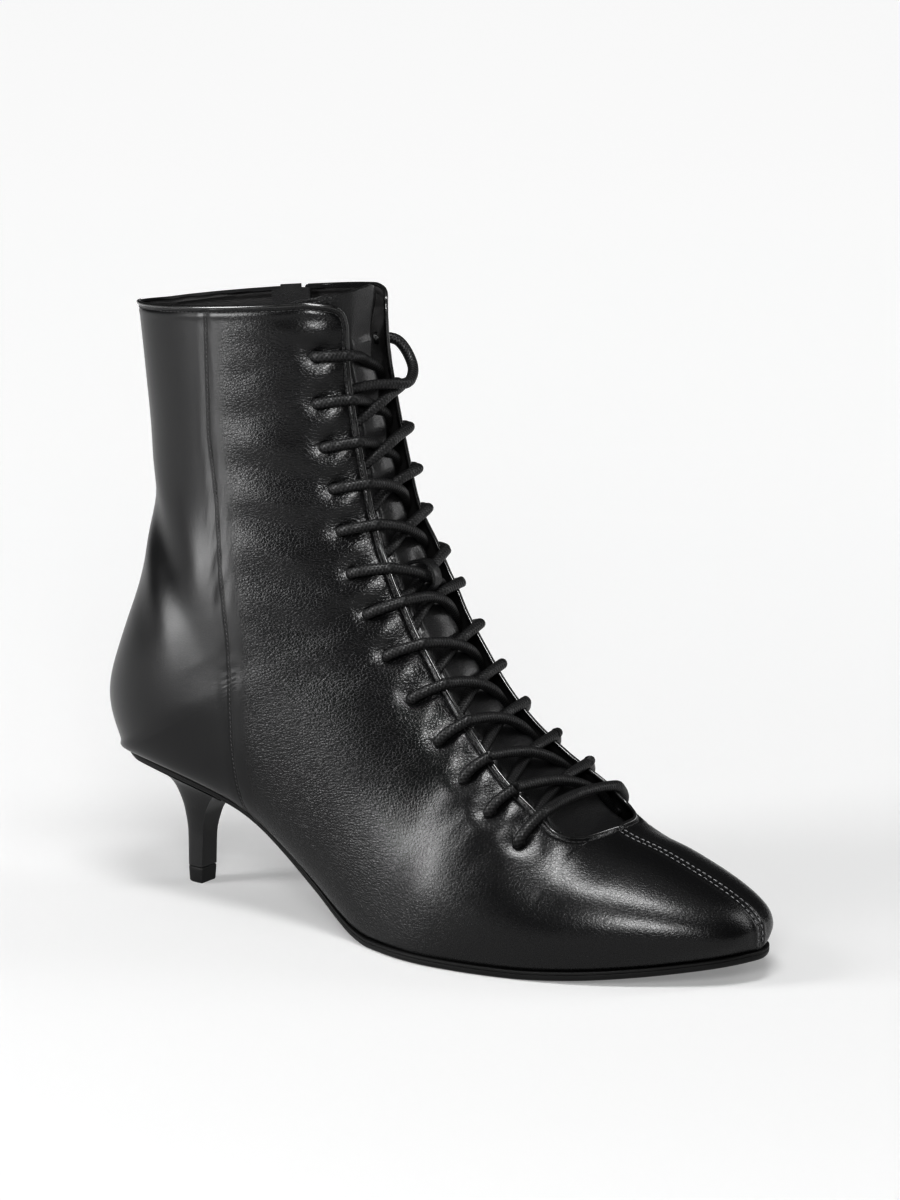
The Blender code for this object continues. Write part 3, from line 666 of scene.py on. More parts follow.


# %% [markdown]
# Leather
#
# The upper is one black leather with two faces to it. Beside the laces it has worked soft, so its
# pebbles and cracks open and catch the light. Behind the side seam it is stretched over the heel's
# stiffener and looks smooth and more matte; there, and on the vamp and the collar's top band, its
# tone is painted lighter, which is painted light. The mesh carries the distance to each edge and seam,
# and the finish reads those numbers to put grain, rolled edges and seam lines in their places. The
# seam lines and the groove beside each rolled edge are painted darker, a painted shade in those grooves.

# %% Upper leather
leather = Finish(
    "upper leather", IOR=1.5, Specular_IOR_Level=0.42, Coat_Weight=0.20, Coat_Roughness=0.25
)
softness = leather.measure("softness")
edge = leather.measure("edge")
seam = abs(leather.measure("seam"))
cells = leather.pebbles(860.0, leather.stretched((1.0, 1.0, 1.35)))
wrinkles = leather.noise(640.0, 3.0, 0.6, leather.stretched((1.0, 1.0, 1.6)))
fine = leather.noise(1900.0, 3.0, 0.6)
cloudy = leather.noise(38.0, 3.0, 0.55)
open_grain = (softness * (0.45 + 0.9 * cloudy)).held()
# groove and fold_line mark the seam's groove and the groove beside each folded edge. In the tone they are
# painted darker, a painted shade in those grooves; they are also made rougher and sunk.
groove = 1.0 - seam.ramp(0.00040, 0.00095)
fold_line = 1.0 - abs(edge - 0.0020).ramp(0.00008, 0.00034)
lines = (groove + fold_line).held()
# The tone is also lifted where the leather is firm (heel panel, vamp, collar's top band): painted light
# for the heel panel's grey.
tone = (0.25 + 0.5 * cloudy - 0.9 * lines + 0.25 * (1.0 - softness)).held()
leather.tint(tone, (0.0014, 0.0014, 0.0016), (0.0062, 0.0062, 0.0067))
leather.feed("Roughness", 0.31 - 0.07 * softness + 0.10 * (fine - 0.5) + 0.25 * lines)
height = (0.5 * cells + 1.2 * wrinkles) * (0.10 + open_grain) + fine * 0.22 - 1.0 * lines
leather.relief(height, 0.00012)

# %% [markdown]
# The other finishes
#
# Lining, tongue, sole, heel cover, thread, tape and zip metal are simpler: each has a colour that
# varies a little, a roughness, and relief at its own scale.

# %% Lining, tongue and sole
lining = Finish("lining", Roughness=0.55, IOR=1.45)
weave = lining.pebbles(1500.0)
lining_tone = (0.3 + 0.5 * lining.noise(60.0)).held()
lining.tint(lining_tone, (0.010, 0.010, 0.0105), (0.030, 0.029, 0.029))
lining.relief(weave * 0.6 + lining.noise(900.0, 2.0) * 0.6, 0.00012)

tongue_leather = Finish("tongue leather", IOR=1.5, Specular_IOR_Level=0.4, Coat_Roughness=0.22)
tongue_cells = tongue_leather.pebbles(1000.0)
tongue_cloud = tongue_leather.noise(55.0, 3.0)
tongue_leather.tint(tongue_cloud, (0.0035, 0.0035, 0.0038), (0.0110, 0.0110, 0.0115))
tongue_leather.feed("Roughness", 0.32 + 0.16 * tongue_cloud)
tongue_leather.feed("Coat Weight", (0.25 + 0.4 * tongue_cloud).held())
tongue_leather.relief(tongue_cells * 0.6 + 0.4 * tongue_leather.noise(420.0, 3.0), 0.00018)

sole_finish = Finish("sole edge and tread", IOR=1.48, Specular_IOR_Level=0.35)
stipple = sole_finish.noise(1800.0, 2.0)
sole_cloud = sole_finish.noise(45.0, 3.0)
sole_finish.tint(sole_cloud, (0.005, 0.005, 0.005), (0.013, 0.013, 0.013))
sole_finish.feed("Roughness", 0.42 + 0.16 * sole_cloud)
sole_finish.relief(stipple * 0.5 + sole_cloud * 0.4, 0.0001)

heel_finish = Finish(
    "covered heel", IOR=1.5, Specular_IOR_Level=0.4, Coat_Weight=0.25, Coat_Roughness=0.18
)
heel_cloud = heel_finish.noise(70.0, 3.0)
heel_finish.tint(heel_cloud, (0.004, 0.004, 0.0042), (0.010, 0.010, 0.0105))
heel_finish.feed("Roughness", 0.30 + 0.12 * heel_cloud)
heel_finish.relief(heel_finish.noise(1500.0, 3.0), 0.00006)

# The toe seam's thread is painted light grey, a painted sheen for its glint; the dark thread below has
# the thread's own colour.
thread = Finish("seam thread painted light", Roughness=0.42, IOR=1.5)
thread.tint(thread.noise(900.0), (0.05, 0.05, 0.052), (0.26, 0.26, 0.265))
thread.relief(thread.noise(6000.0, 1.0), 0.00005)

dark_thread = Finish("dark thread", Roughness=0.5, IOR=1.5)
dark_thread.tint(dark_thread.noise(900.0), (0.015, 0.015, 0.0155), (0.085, 0.085, 0.086))
dark_thread.relief(dark_thread.noise(6000.0, 1.0), 0.00005)

# %% [markdown]
# Waxed cord
#
# The lace is a round braided cotton cord, waxed. Its braid shows as slanting plaits around it, so
# the cord's mesh carries how far along and how far round each point is, and two crossing waves of
# those numbers make the plaits. Wax sits on top of the plaits and shines, and the plaits' tops are
# also painted lighter where the wax lies, a painted sheen.

# %% Cord finish
CORD_RADIUS = 0.00172
cord = Finish("waxed cord", IOR=1.5, Specular_IOR_Level=0.35, Coat_Roughness=0.3)
cord_uv = cord.node("ShaderNodeUVMap", {"uv_map": "length and turn"})
parts = cord.tree.nodes.new("ShaderNodeSeparateXYZ")
cord.tree.links.new(cord_uv.socket, parts.inputs[0])
cord_long, cord_turn = Wire(cord.tree, parts.outputs[0]), Wire(cord.tree, parts.outputs[1])
one_way = (cord_long * 5200.0 + cord_turn * (2 * math.pi * 5)).wave()
other_way = (cord_long * 5200.0 - cord_turn * (2 * math.pi * 5)).wave()
plait = (0.5 + 0.25 * one_way + 0.25 * other_way).held()
wax = cord.noise(700.0, 3.0, 0.65)
# The waxed plait tops: their colour is painted lighter, a painted sheen on the braid; their lower
# roughness is the wax's real gloss.
wax_and_painted_sheen = (plait * wax * 1.6).held()
cord.tint(wax_and_painted_sheen, (0.004, 0.004, 0.004), (0.020, 0.020, 0.021))
cord.feed("Roughness", (0.60 - 0.28 * wax_and_painted_sheen).held())
cord.feed("Coat Weight", (1.1 * wax * plait).held())
cord.relief(plait * 0.8 + wax * 0.8, 0.00030)

# %% Zip finishes
tape_finish = Finish("zip tape", Roughness=0.75)
tape_weave_and_shade = tape_finish.pebbles(2200.0)
# The tape's colour follows its weave: darker in the cracks, a painted shade, and lighter on the tops.
tape_finish.tint(tape_weave_and_shade, (0.008, 0.008, 0.008), (0.024, 0.024, 0.025))
tape_finish.relief(tape_weave_and_shade, 0.00015)

teeth_finish = Finish("zip teeth", IOR=1.5)
teeth_cloud = teeth_finish.noise(500.0)
teeth_finish.tint(teeth_cloud, (0.012, 0.012, 0.012), (0.022, 0.022, 0.023))
teeth_finish.feed("Roughness", 0.28 + 0.15 * teeth_cloud)

metal = Finish("dark zip metal", Metallic=1.0)
scuffs = metal.noise(400.0, 4.0, 0.7)
metal.tint(scuffs, (0.09, 0.09, 0.095), (0.20, 0.20, 0.205))
metal.feed("Roughness", 0.22 + 0.2 * scuffs)
metal.relief(metal.noise(2500.0, 2.0), 0.00003)

# The panels stand close, so the floor glows a little more the further it lies from them.
pale = Finish("pale floor", Base_Color=(0.32, 0.32, 0.32), Roughness=0.9, Emission_Strength=1.0)
lit_middle = pale.node("ShaderNodeMapping", Vector=pale.place(), Location=(0.25, 0.17, 0.0))
far_off = pale.node("ShaderNodeVectorMath", {"operation": "LENGTH"}, output="Value", Vector=lit_middle)
fading = (1.0 + far_off * far_off * 0.50) ** -2.0
pale.feed("Emission Color", 0.867 - 0.565 * fading)
floor.data.materials.append(pale.material)

# %% [markdown]
# The upper
#
# Each section of the last is walked from the sole to the facing, or to the centre seam in front of
# the throat, and gets its points at measured distances. They lie close together near the edges,
# where the leather is folded over, and wider apart on the flanks. The panels' edges are then the
# mesh's own edges, so they stay crisp.

# %% Where the upper's rows and columns lie
EDGE_COLUMNS = [0.0, 0.00035, 0.0008, 0.0013, 0.0018, 0.0023, 0.0028, 0.0033, 0.0040, 0.0050]
FLANK_COLUMNS = 54


def spread(first, last, step):
    count = max(1, round((last - first) / step))
    return [first + (last - first) * i / count for i in range(count)]


PLACES = [0.0, 0.03, 0.07, 0.12, *spread(0.18, 5.7, 0.1), *spread(5.7, THROAT_FOOT, 0.03)]
PLACES += [THROAT_FOOT, 6.034, 6.042, 6.053, 6.066, 6.08, 6.10, 6.125, 6.15, 6.18, 6.22, 6.27]
PLACES += [*spread(6.33, 7.0, 0.06), *spread(7.0, 12.0, 0.08), *spread(12.0, 15.0, 0.10)]
PLACES += [*spread(15.0, 21.3, 0.10), *spread(21.3, 22.0, 0.035), 22.0]


def section_half(place, side):
    """One half of a section as points, from the seat to the facing or to the centre line."""
    values = section(place)
    opening = throat_half(place) if place > THROAT_FOOT else 0.0
    last = crown_share(values, side * opening) if opening > 0.0 else 1.0
    fine = 160
    path = []
    for i in range(fine + 1):
        share = last * (0.5 - 0.5 * math.cos(math.pi * i / fine))
        path.append(at_share(values, side, share, half_width(values, side, share)))
    travelled = lengths_along(path)
    total = travelled[-1]
    squeeze = min(1.0, 0.5 * total / EDGE_COLUMNS[-1])
    near = [total - squeeze * column for column in reversed(EDGE_COLUMNS)]
    marks = [near[0] * i / FLANK_COLUMNS for i in range(FLANK_COLUMNS)] + near
    path = np.array(path)
    return np.stack([np.interp(marks, travelled, path[:, k]) for k in range(3)], axis=1)


def eased(points, low, high, rounds, both_ways):
    """Evens the grid between two places, where its rows meet at a corner, away from its edges."""
    places = np.array(PLACES)
    columns = np.arange(points.shape[1])
    down = soft_step((places - low) / 0.4) * soft_step((high - places) / 0.4)
    along_row = soft_step(columns / 12.0) * soft_step((columns[-1] - 12 - columns) / 10.0)
    weight = 0.48 * (down[:, None] * along_row[None, :])[1:-1, 1:-1, None]
    for _ in range(rounds):
        near = (points[:-2, 1:-1] + points[2:, 1:-1]) / 2
        if both_ways:
            near = near / 2 + (points[1:-1, :-2] + points[1:-1, 2:]) / 4
        points[1:-1, 1:-1] += weight * (near - points[1:-1, 1:-1])
    return points


outer = {}
for side in (-1, 1):
    points = np.array([section_half(place, side) for place in PLACES])
    outer[side] = eased(points, 13.2, 17.6, 60, False)
print("upper grid", outer[-1].shape, "on each side")

# %% [markdown]
# Creases
#
# Worn leather folds where it is pulled. Here the lace pulls each eyelet in a little and the leather
# puffs up between the rows. Soft troughs fan out backwards from the eyelets, and longer ones run
# slantwise round the ankle. Each crease is one row below: where it starts and ends along the boot
# and up from the ground, how wide and how deep it is. A negative depth is a ridge.

# %% Creases of the outer side, in metres
Crease = namedtuple("Crease", "along up to_along to_up width depth")
LATERAL_CREASES = [
    Crease(0.012, 0.139, 0.034, 0.112, 0.0060, 0.0011),
    Crease(0.034, 0.112, 0.052, 0.082, 0.0070, 0.0007),
    Crease(0.016, 0.122, 0.036, 0.092, 0.0060, -0.0008),
    Crease(0.040, 0.128, 0.056, 0.100, 0.0055, -0.0004),
    Crease(0.064, 0.176, 0.083, 0.181, 0.0030, 0.00035),
    Crease(0.062, 0.163, 0.086, 0.165, 0.0035, 0.00050),
    Crease(0.066, 0.155, 0.084, 0.153, 0.0030, -0.00040),
    Crease(0.064, 0.147, 0.088, 0.146, 0.0035, 0.00055),
    Crease(0.068, 0.138, 0.088, 0.135, 0.0032, -0.00045),
    Crease(0.066, 0.131, 0.090, 0.128, 0.0035, 0.00050),
    Crease(0.070, 0.123, 0.092, 0.118, 0.0032, -0.00040),
    Crease(0.070, 0.114, 0.094, 0.110, 0.0038, 0.00050),
    Crease(0.076, 0.100, 0.100, 0.095, 0.0040, 0.00045),
    Crease(0.084, 0.086, 0.108, 0.082, 0.0042, 0.00040),
    Crease(0.120, 0.054, 0.150, 0.050, 0.0050, 0.00030),
    Crease(0.140, 0.043, 0.172, 0.034, 0.0050, 0.00030),
    Crease(0.166, 0.030, 0.196, 0.029, 0.0050, -0.00025),
]
MEDIAL_CREASES = [
    Crease(0.014, 0.136, 0.040, 0.104, 0.0062, 0.0010),
    Crease(0.020, 0.120, 0.044, 0.088, 0.0060, -0.0006),
    Crease(0.070, 0.160, 0.088, 0.158, 0.0034, 0.00045),
    Crease(0.072, 0.142, 0.090, 0.139, 0.0034, 0.00045),
    Crease(0.074, 0.124, 0.094, 0.120, 0.0036, 0.00045),
    Crease(0.080, 0.104, 0.100, 0.099, 0.0040, 0.00040),
    Crease(0.120, 0.056, 0.150, 0.046, 0.0050, 0.00030),
]
SIDE_SEAM = [
    (0.0510, 0.2010),
    (0.0512, 0.1990),
    (0.0515, 0.1800),
    (0.0524, 0.1550),
    (0.0560, 0.1360),
    (0.0592, 0.1110),
    (0.0630, 0.0920),
    (0.0645, 0.0760),
    (0.0650, 0.0590),
    (0.0660, 0.0420),
    (0.0679, 0.0270),
]

ZIP_FOOT = 12.4
ZIP_SLOT = 0.0084


def zip_along(place):
    return blend(0.0625, 0.052, (place - ZIP_FOOT) / (COLLAR - ZIP_FOOT))


def zip_seam():
    """The inner side's seam: the zip's line, and below its foot the seam down to the sole."""
    places = [COLLAR - 0.5 * i for i in range(int(2 * (COLLAR - ZIP_FOOT)) + 1)]
    line = [(zip_along(place), side_point(place, 1, zip_along(place)).z) for place in places]
    return line + [row for row in SIDE_SEAM if row[1] < line[-1][1] - 0.006]


ZIP_SEAM = zip_seam()
ZIP_SEAM_TOP = side_point(ZIP_FOOT, 1, zip_along(ZIP_FOOT)).z - 0.002


def segment_distance(along, up, mark):
    """How far grid points lie from a crease, and where along it, from 0 to 1."""
    start = np.array([mark.along, mark.up])
    run = np.array([mark.to_along, mark.to_up]) - start
    share = ((along - start[0]) * run[0] + (up - start[1]) * run[1]) / (run @ run)
    held = np.clip(share, 0.0, 1.0)
    away = np.hypot(along - start[0] - held * run[0], up - start[1] - held * run[1])
    return away, held


def seam_distance(along, up, line_table):
    """Signed distance from a side seam in the side view: negative behind it."""
    table = np.array(line_table)[::-1]
    line = np.interp(up, table[:, 1], table[:, 0])
    slope = np.gradient(np.interp(np.linspace(0.02, 0.205, 80), table[:, 1], table[:, 0]))
    lean = np.interp(up, np.linspace(0.02, 0.205, 80), slope / (0.185 / 79))
    return (along - line) / np.sqrt(1.0 + lean**2)


# %% Distances over the upper
def tree_of(points):
    tree = KDTree(len(points))
    for index, point in enumerate(points):
        tree.insert(point, index)
    tree.balance()
    return tree


def grid_normals(points):
    down_rows = np.gradient(points, axis=0)
    along_row = np.gradient(points, axis=1)
    normals = np.cross(down_rows, along_row)
    lengths = np.linalg.norm(normals, axis=2, keepdims=True)
    normals = normals / np.maximum(lengths, 1e-12)
    bad = lengths[..., 0] < 1e-10
    normals[bad] = (0.0, 0.0, 1.0)
    return normals


foot_row = PLACES.index(THROAT_FOOT)
facings = {side: [Vector(p) for p in outer[side][foot_row:, -1]] for side in (-1, 1)}
rims = {side: [Vector(p) for p in outer[side][-1]] for side in (-1, 1)}
edge_marks = []
for side in (-1, 1):
    edge_marks += resample(facings[side], 0.0003)
    edge_marks += resample(rims[side], 0.0003)
edge_tree = tree_of(edge_marks)
facing_tree = tree_of([point for side in (-1, 1) for point in resample(facings[side], 0.0004)])

eyelets = {
    side: [crown_point(place, facing_offset(place, side, EYELET_SETBACK)) for place in ROWS]
    for side in (-1, 1)
}


def row_phase(side, points):
    """A number that is whole at each eyelet row, counted from the collar, for each point."""
    marks = [facings[side][0]]
    phases = [float(EYELET_ROWS) + FIRST_EYELET / EYELET_PITCH]
    line = [crown_point(place, side * throat_half(place)) for place in ROWS]
    dense, numbers = [], []
    stops = list(zip(line, range(1, EYELET_ROWS + 1)))
    stops = [(2 * line[0] - line[1], 0)] + stops + list(zip(marks, phases))
    for (first, low), (second, high) in zip(stops, stops[1:]):
        for k in range(24):
            dense.append(first.lerp(second, k / 24))
            numbers.append(blend(low, high, k / 24))
    tree = tree_of(dense)
    return np.array([numbers[tree.find(Vector(point))[1]] for point in points])


# %% [markdown]
# Shaping the leather
#
# Every point moves a little along its normal: out for the bead of the folded edge, round at the
# very edge, in at each eyelet, out between them, in and out for the creases, out for the centre
# seam's ridge. A part of a millimetre is enough, because gloss shows slopes more than heights.


# %% Relief of the upper
def relief_of(side):
    points = outer[side]
    shape = points.shape[:2]
    flat = points.reshape(-1, 3)
    edge = np.array([edge_tree.find(Vector(p))[2] for p in flat]).reshape(shape)
    laced = np.array([facing_tree.find(Vector(p))[2] for p in flat]).reshape(shape)
    phase = row_phase(side, flat).reshape(shape)
    between = soft_step((phase - 0.1) / 0.6) * soft_step((13.9 - phase) / 0.7)
    along, up = points[..., 1], points[..., 2]
    places = np.array(PLACES)[:, None] * np.ones(shape)
    lift = np.zeros(shape)

    in_throat = places > THROAT_FOOT - 0.5
    lift -= 0.00055 * np.clip(1.0 - edge / 0.0008, 0.0, 1.0) ** 2 * in_throat
    lift += 0.00028 * np.exp(-(((edge - 0.0010) / 0.0006) ** 2)) * in_throat
    lift -= 0.00028 * np.exp(-(((edge - 0.0020) / 0.00045) ** 2)) * in_throat
    lift += 0.00012 * np.exp(-(((edge - 0.0032) / 0.0008) ** 2)) * in_throat

    near_laces = np.exp(-(((laced - 0.0070) / 0.0065) ** 2)) * between
    lift += 0.00095 * near_laces * (np.sin(np.pi * phase) ** 2 - 0.35)
    spread_out = np.exp(-(((laced - 0.018) / 0.009) ** 2)) * between
    lift += 0.00030 * spread_out * (np.sin(np.pi * (phase + 0.18)) ** 2 - 0.4)
    for hole in eyelets[side]:
        away = np.linalg.norm(points - np.array(hole), axis=2)
        lift -= 0.00085 * np.exp(-((away / 0.0036) ** 2))
        lift += 0.00018 * np.exp(-(((away - 0.0066) / 0.0024) ** 2))

    for mark in LATERAL_CREASES if side < 0 else MEDIAL_CREASES:
        away, share = segment_distance(along, up, mark)
        taper = np.sin(np.pi * np.clip(0.12 + 0.8 * share, 0.0, 1.0)) ** 0.7
        lift -= mark.depth * taper * np.exp(-((away / mark.width) ** 2))

    swung = TOE_SWING * np.maximum(0.0, 2 * along / LENGTH - 1.0) ** 2
    centre = np.abs(points[..., 0] - swung)
    ahead = (places < THROAT_FOOT) & (places > 0.4)
    ridge = 0.00030 * np.exp(-(((centre - 0.0022) / 0.0010) ** 2))
    ridge -= 0.00028 * np.exp(-((centre / 0.0013) ** 2))
    ridge += 0.00030 * np.exp(-((centre / 0.0005) ** 2))
    lift += ridge * ahead

    seam = seam_distance(along, up, SIDE_SEAM if side < 0 else ZIP_SEAM)
    shown = 1.0 if side < 0 else 1.0 - soft_step((places - ZIP_FOOT + 0.3) / 0.3)
    lift -= 0.00030 * shown * np.exp(-((seam / 0.0009) ** 2))
    lift += 0.00014 * shown * np.exp(-(((np.abs(seam) - 0.0024) / 0.0012) ** 2))
    softness = soft_step((seam - 0.001) / 0.012)
    vamp = soft_step((along - 0.115) / 0.05) * soft_step((0.075 - up) / 0.03)
    softness = softness * (1.0 - 0.55 * vamp)
    softness *= 1.0 - 0.5 * soft_step((up - 0.183) / 0.012)
    return lift, edge, seam, softness


work = bmesh.new()
layers = {name: work.verts.layers.float.new(name) for name in ("edge", "seam", "softness")}
for side in (-1, 1):
    lift, edge_far, seam_far, soft_and_painted_light = relief_of(side)
    normals = grid_normals(outer[side])
    middle = np.array([0.0, 0.11, 0.05])
    if np.mean(np.sum(normals * (outer[side] - middle), axis=2)) < 0:
        normals = -normals
    moved = eased(outer[side] + normals * lift[..., None], 5.5, 6.9, 14, True)
    if side < 0:
        moved_lateral = moved
    on_centre = [i for i, place in enumerate(PLACES) if place <= THROAT_FOOT]
    moved[on_centre, -1, 0] = outer[side][on_centre, -1, 0]
    at_back = [i for i, place in enumerate(PLACES) if place >= SEAT_BACK]
    moved[at_back, 0] = moved_lateral[at_back, 0]
    moved[at_back, 0, 0] = 0.0
    grid = []
    for i in range(len(PLACES)):
        row = []
        for j in range(moved.shape[1]):
            vertex = work.verts.new(world_point(moved[i, j]))
            vertex[layers["edge"]] = edge_far[i, j] if PLACES[i] > THROAT_FOOT - 0.5 else 0.05
            vertex[layers["seam"]] = seam_far[i, j]
            vertex[layers["softness"]] = soft_and_painted_light[i, j]
            row.append(vertex)
        grid.append(row)
    for first, last in zip(grid, grid[1:]):
        for j in range(len(first) - 1):
            corners = (first[j], first[j + 1], last[j + 1], last[j])
            work.faces.new(corners if side < 0 else corners[::-1])
bmesh.ops.remove_doubles(work, verts=work.verts, dist=3e-5)
bmesh.ops.dissolve_degenerate(work, edges=work.edges, dist=1e-6)
upper = new_piece("boot_upper", work, [leather, lining], 60.0)
print("upper skin has", len(upper.data.polygons), "faces")
outer_skin = BVHTree.FromObject(upper, bpy.context.evaluated_depsgraph_get())

# %% [markdown]
# Wall, eyelets and zip slot
#
# The skin gets its wall inwards, with lining on the inner face. The eyelets are plain punched
# holes without metal, so a row of round punches is cut out, and the zip's slot with them.


# %% Wall and holes
EYELET_RADIUS = 0.00205


def punch(name, place, side, radius):
    x = facing_offset(place, side, EYELET_SETBACK)
    out = world_point(crown_skin(place, x, -0.004))
    back = world_point(crown_skin(place, x, 0.005))
    deselect()
    bpy.ops.mesh.primitive_cylinder_add(vertices=20, radius=radius, depth=(out - back).length)
    tool = bpy.context.object
    tool.name = name
    turn = (out - back).to_track_quat("Z", "Y").to_matrix().to_4x4()
    tool.data.transform(Matrix.Translation((out + back) / 2) @ turn)
    return tool


activate(upper)
wall = upper.modifiers.new("wall", "SOLIDIFY")
wall.thickness = WALL
wall.offset = -1.0
wall.thickness_clamp = 0.9
wall.use_quality_normals = True
wall.material_offset = 1
apply_all(upper)

tools = []
for side in (-1, 1):
    for row, place in enumerate(ROWS):
        tools.append(punch(f"punch_{side}_{row}", place, side, EYELET_RADIUS))
slot_rows = []
for place in [*spread(ZIP_FOOT, COLLAR + 0.8, 0.2), COLLAR + 0.8]:
    middle = zip_along(place)
    half = ZIP_SLOT / 2
    corners = [(-half, -0.004), (half, -0.004), (half, 0.0045), (-half, 0.0045)]
    slot_rows.append([side_skin(place, 1, middle + x, depth) for x, depth in corners])
tools.append(loft("slot_cutter", slot_rows, []))
kit = bpy.data.collections.new("punches")
for tool in tools:
    kit.objects.link(tool)
activate(upper)
cut = upper.modifiers.new("cut", "BOOLEAN")
cut.operation = "DIFFERENCE"
cut.operand_type = "COLLECTION"
cut.collection = kit
cut.solver = "EXACT"
apply_all(upper)
for tool in tools:
    bpy.data.objects.remove(tool, do_unlink=True)
bpy.data.collections.remove(kit)
smooth(upper, 45.0)
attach(upper, "boot")
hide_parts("upper")
print("upper with wall and holes has", len(upper.data.polygons), "faces")

# %% [markdown]
# Sole, insole, heel and top piece
#
# The outsole is a thin slab that follows the last: high under the heel, down through the waist,
# flat under the ball of the foot and lifted at the toe. Its edge stands out a little past the
# upper, with rounded corners and one fine groove along it. The heel is the seat's outline drawn
# in to a slim stem with a round back and a flat front, on a hard top piece.

# %% Outsole and insole
SOLE_MARGIN = [(0.00, -1.0), (0.24, -1.0), (0.31, -0.1), (0.37, 0.7), (0.44, 1.0), (1.01, 1.0)]


def seat_edge(place, side, outwards):
    """A point of the sole's plan outline, moved outwards from the upper's lower edge."""

    def edge_at(at):
        values = section(at)
        wide = values["seat_lateral"] if side < 0 else values["seat_medial"]
        return Vector((values["base"].x + side * wide, values["base"].y, 0.0))

    if place <= 0.0:
        heading = Vector((0.0, 1.0, 0.0))
    elif place >= SEAT_BACK:
        heading = Vector((0.0, -1.0, 0.0))
    else:
        run = edge_at(min(place + 0.05, SEAT_BACK)) - edge_at(max(place - 0.05, 0.0))
        heading = Vector((-run.y, run.x, 0.0)).normalized()
        if heading.x * side < 0:
            heading.negate()
    return edge_at(place) + heading * outwards


SEAT_PLACES = [0.0, 0.03, 0.08, 0.15, *spread(0.25, 14.6, 0.125), 14.6, 14.75, 14.87, 14.95, 15.0]
SOLE_EDGE_PROFILE = [
    (-0.00150, 0.00000),
    (-0.00030, 0.00000),
    (-0.00005, -0.00020),
    (0.00000, -0.00050),
    (-0.00004, -0.00078),
    (-0.00022, -0.00092),
    (-0.00004, -0.00106),
    (0.00000, -0.00150),
    (-0.00010, -0.00215),
    (-0.00045, -0.00262),
    (-0.00105, -0.00288),
    (-0.00220, -0.00300),
]


def slab(name, finish, profile, margin_of, across=8):
    """A closed slab that follows the sole. The profile is moved out by the margin at each place."""
    rows = []
    for place in SEAT_PLACES:
        along = section(place)["base"].y
        margin = margin_of(along)
        near = [(seat_edge(place, -1, margin + out), up) for out, up in profile]
        far = [(seat_edge(place, 1, margin + out), up) for out, up in profile]
        row = [Vector((p.x, p.y, sole_top(p.y) + up)) for p, up in near]
        low_near, low_far = near[-1], far[-1]
        for i in range(1, across):
            p = low_near[0].lerp(low_far[0], i / across)
            row.append(Vector((p.x, p.y, sole_top(p.y) + low_near[1])))
        row += [Vector((p.x, p.y, sole_top(p.y) + up)) for p, up in reversed(far)]
        high_near, high_far = near[0], far[0]
        for i in range(1, across):
            p = high_far[0].lerp(high_near[0], i / across)
            row.append(Vector((p.x, p.y, sole_top(p.y) + high_near[1])))
        rows.append(row)
    return loft(name, rows, [finish], 38.0)


outsole = slab(
    "boot_outsole",
    sole_finish,
    SOLE_EDGE_PROFILE,
    lambda along: SOLE_EDGE * read_curve(SOLE_MARGIN, along / LENGTH),
)
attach(outsole, "boot")
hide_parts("outsole")

INSOLE_PROFILE = [(-0.0012, 0.0028), (-0.0003, 0.0026), (0.0, 0.0021), (0.0, 0.0003)]
insole = slab("boot_insole", lining, INSOLE_PROFILE, lambda along: -(WALL + 0.0014))
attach(insole, "boot")
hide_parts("insole")
print("outsole faces", len(outsole.data.polygons), "insole faces", len(insole.data.polygons))

# %% Heel and its top piece
STEM_WIDTH = 0.008
STEM_DEPTH = 0.0072
STEM_FROM_BACK = 0.0295
TOP_PIECE_HEIGHT = 0.0052
SEAT_INSET = 0.0022
HEEL_BREAST = 11.5
HEEL_BACK_FLARE = [
    (0.00, 1.00),
    (0.03, 0.85),
    (0.07, 0.67),
    (0.14, 0.40),
    (0.21, 0.25),
    (0.32, 0.14),
    (0.46, 0.06),
    (0.70, 0.00),
    (1.00, 0.00),
]
HEEL_FRONT_FLARE = [
    (0.00, 1.00),
    (0.03, 0.88),
    (0.07, 0.75),
    (0.14, 0.54),
    (0.21, 0.38),
    (0.32, 0.23),
    (0.46, 0.10),
    (0.70, 0.02),
    (1.00, 0.00),
]


def stem_point(turn, grow=1.0):
    """A point of the stem's D section. Turn runs from -1, over 0 at the back, to 1."""
    angle = turn * math.pi / 2
    x = STEM_WIDTH / 2 * grow * math.copysign(abs(math.sin(angle)) ** 0.7, turn) if turn else 0.0
    deep = STEM_DEPTH * grow
    return Vector((x, STEM_FROM_BACK + deep / 2 - deep * abs(math.cos(angle)) ** 0.8, 0.0))


TURNS = [2 * i / 48 - 1.0 for i in range(49)]


def close_end(work, ring):
    last = len(ring) - 1
    for i in range(len(ring) // 2):
        corners = [ring[i], ring[i + 1], ring[last - i - 1], ring[last - i]]
        work.faces.new(list(dict.fromkeys(corners)))


work = bmesh.new()
rows = []
for i in range(49):
    down = (i / 48) ** 1.5
    back_flare, front_flare = read_curve(HEEL_BACK_FLARE, down), read_curve(HEEL_FRONT_FLARE, down)
    row = []
    for turn in TURNS:
        stem = stem_point(turn)
        seat = seat_edge(blend(SEAT_BACK, HEEL_BREAST, abs(turn)), -1 if turn < 0 else 1, -SEAT_INSET)
        flare = blend(back_flare, front_flare, abs(turn))
        along = blend(stem.y, seat.y, flare)
        high = sole_top(along if i else seat.y) - SOLE_THICKNESS - GAP
        up = blend(high, TOP_PIECE_HEIGHT + GAP, down)
        row.append(Vector((blend(stem.x, seat.x, back_flare), along, up)))
    rows.append(row)
grid = lay_rows(work, rows, closed=True)
close_end(work, grid[0])
close_end(work, grid[-1])
heel = new_piece("boot_heel", work, [heel_finish], 42.0)
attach(heel, "boot")
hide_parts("heel")

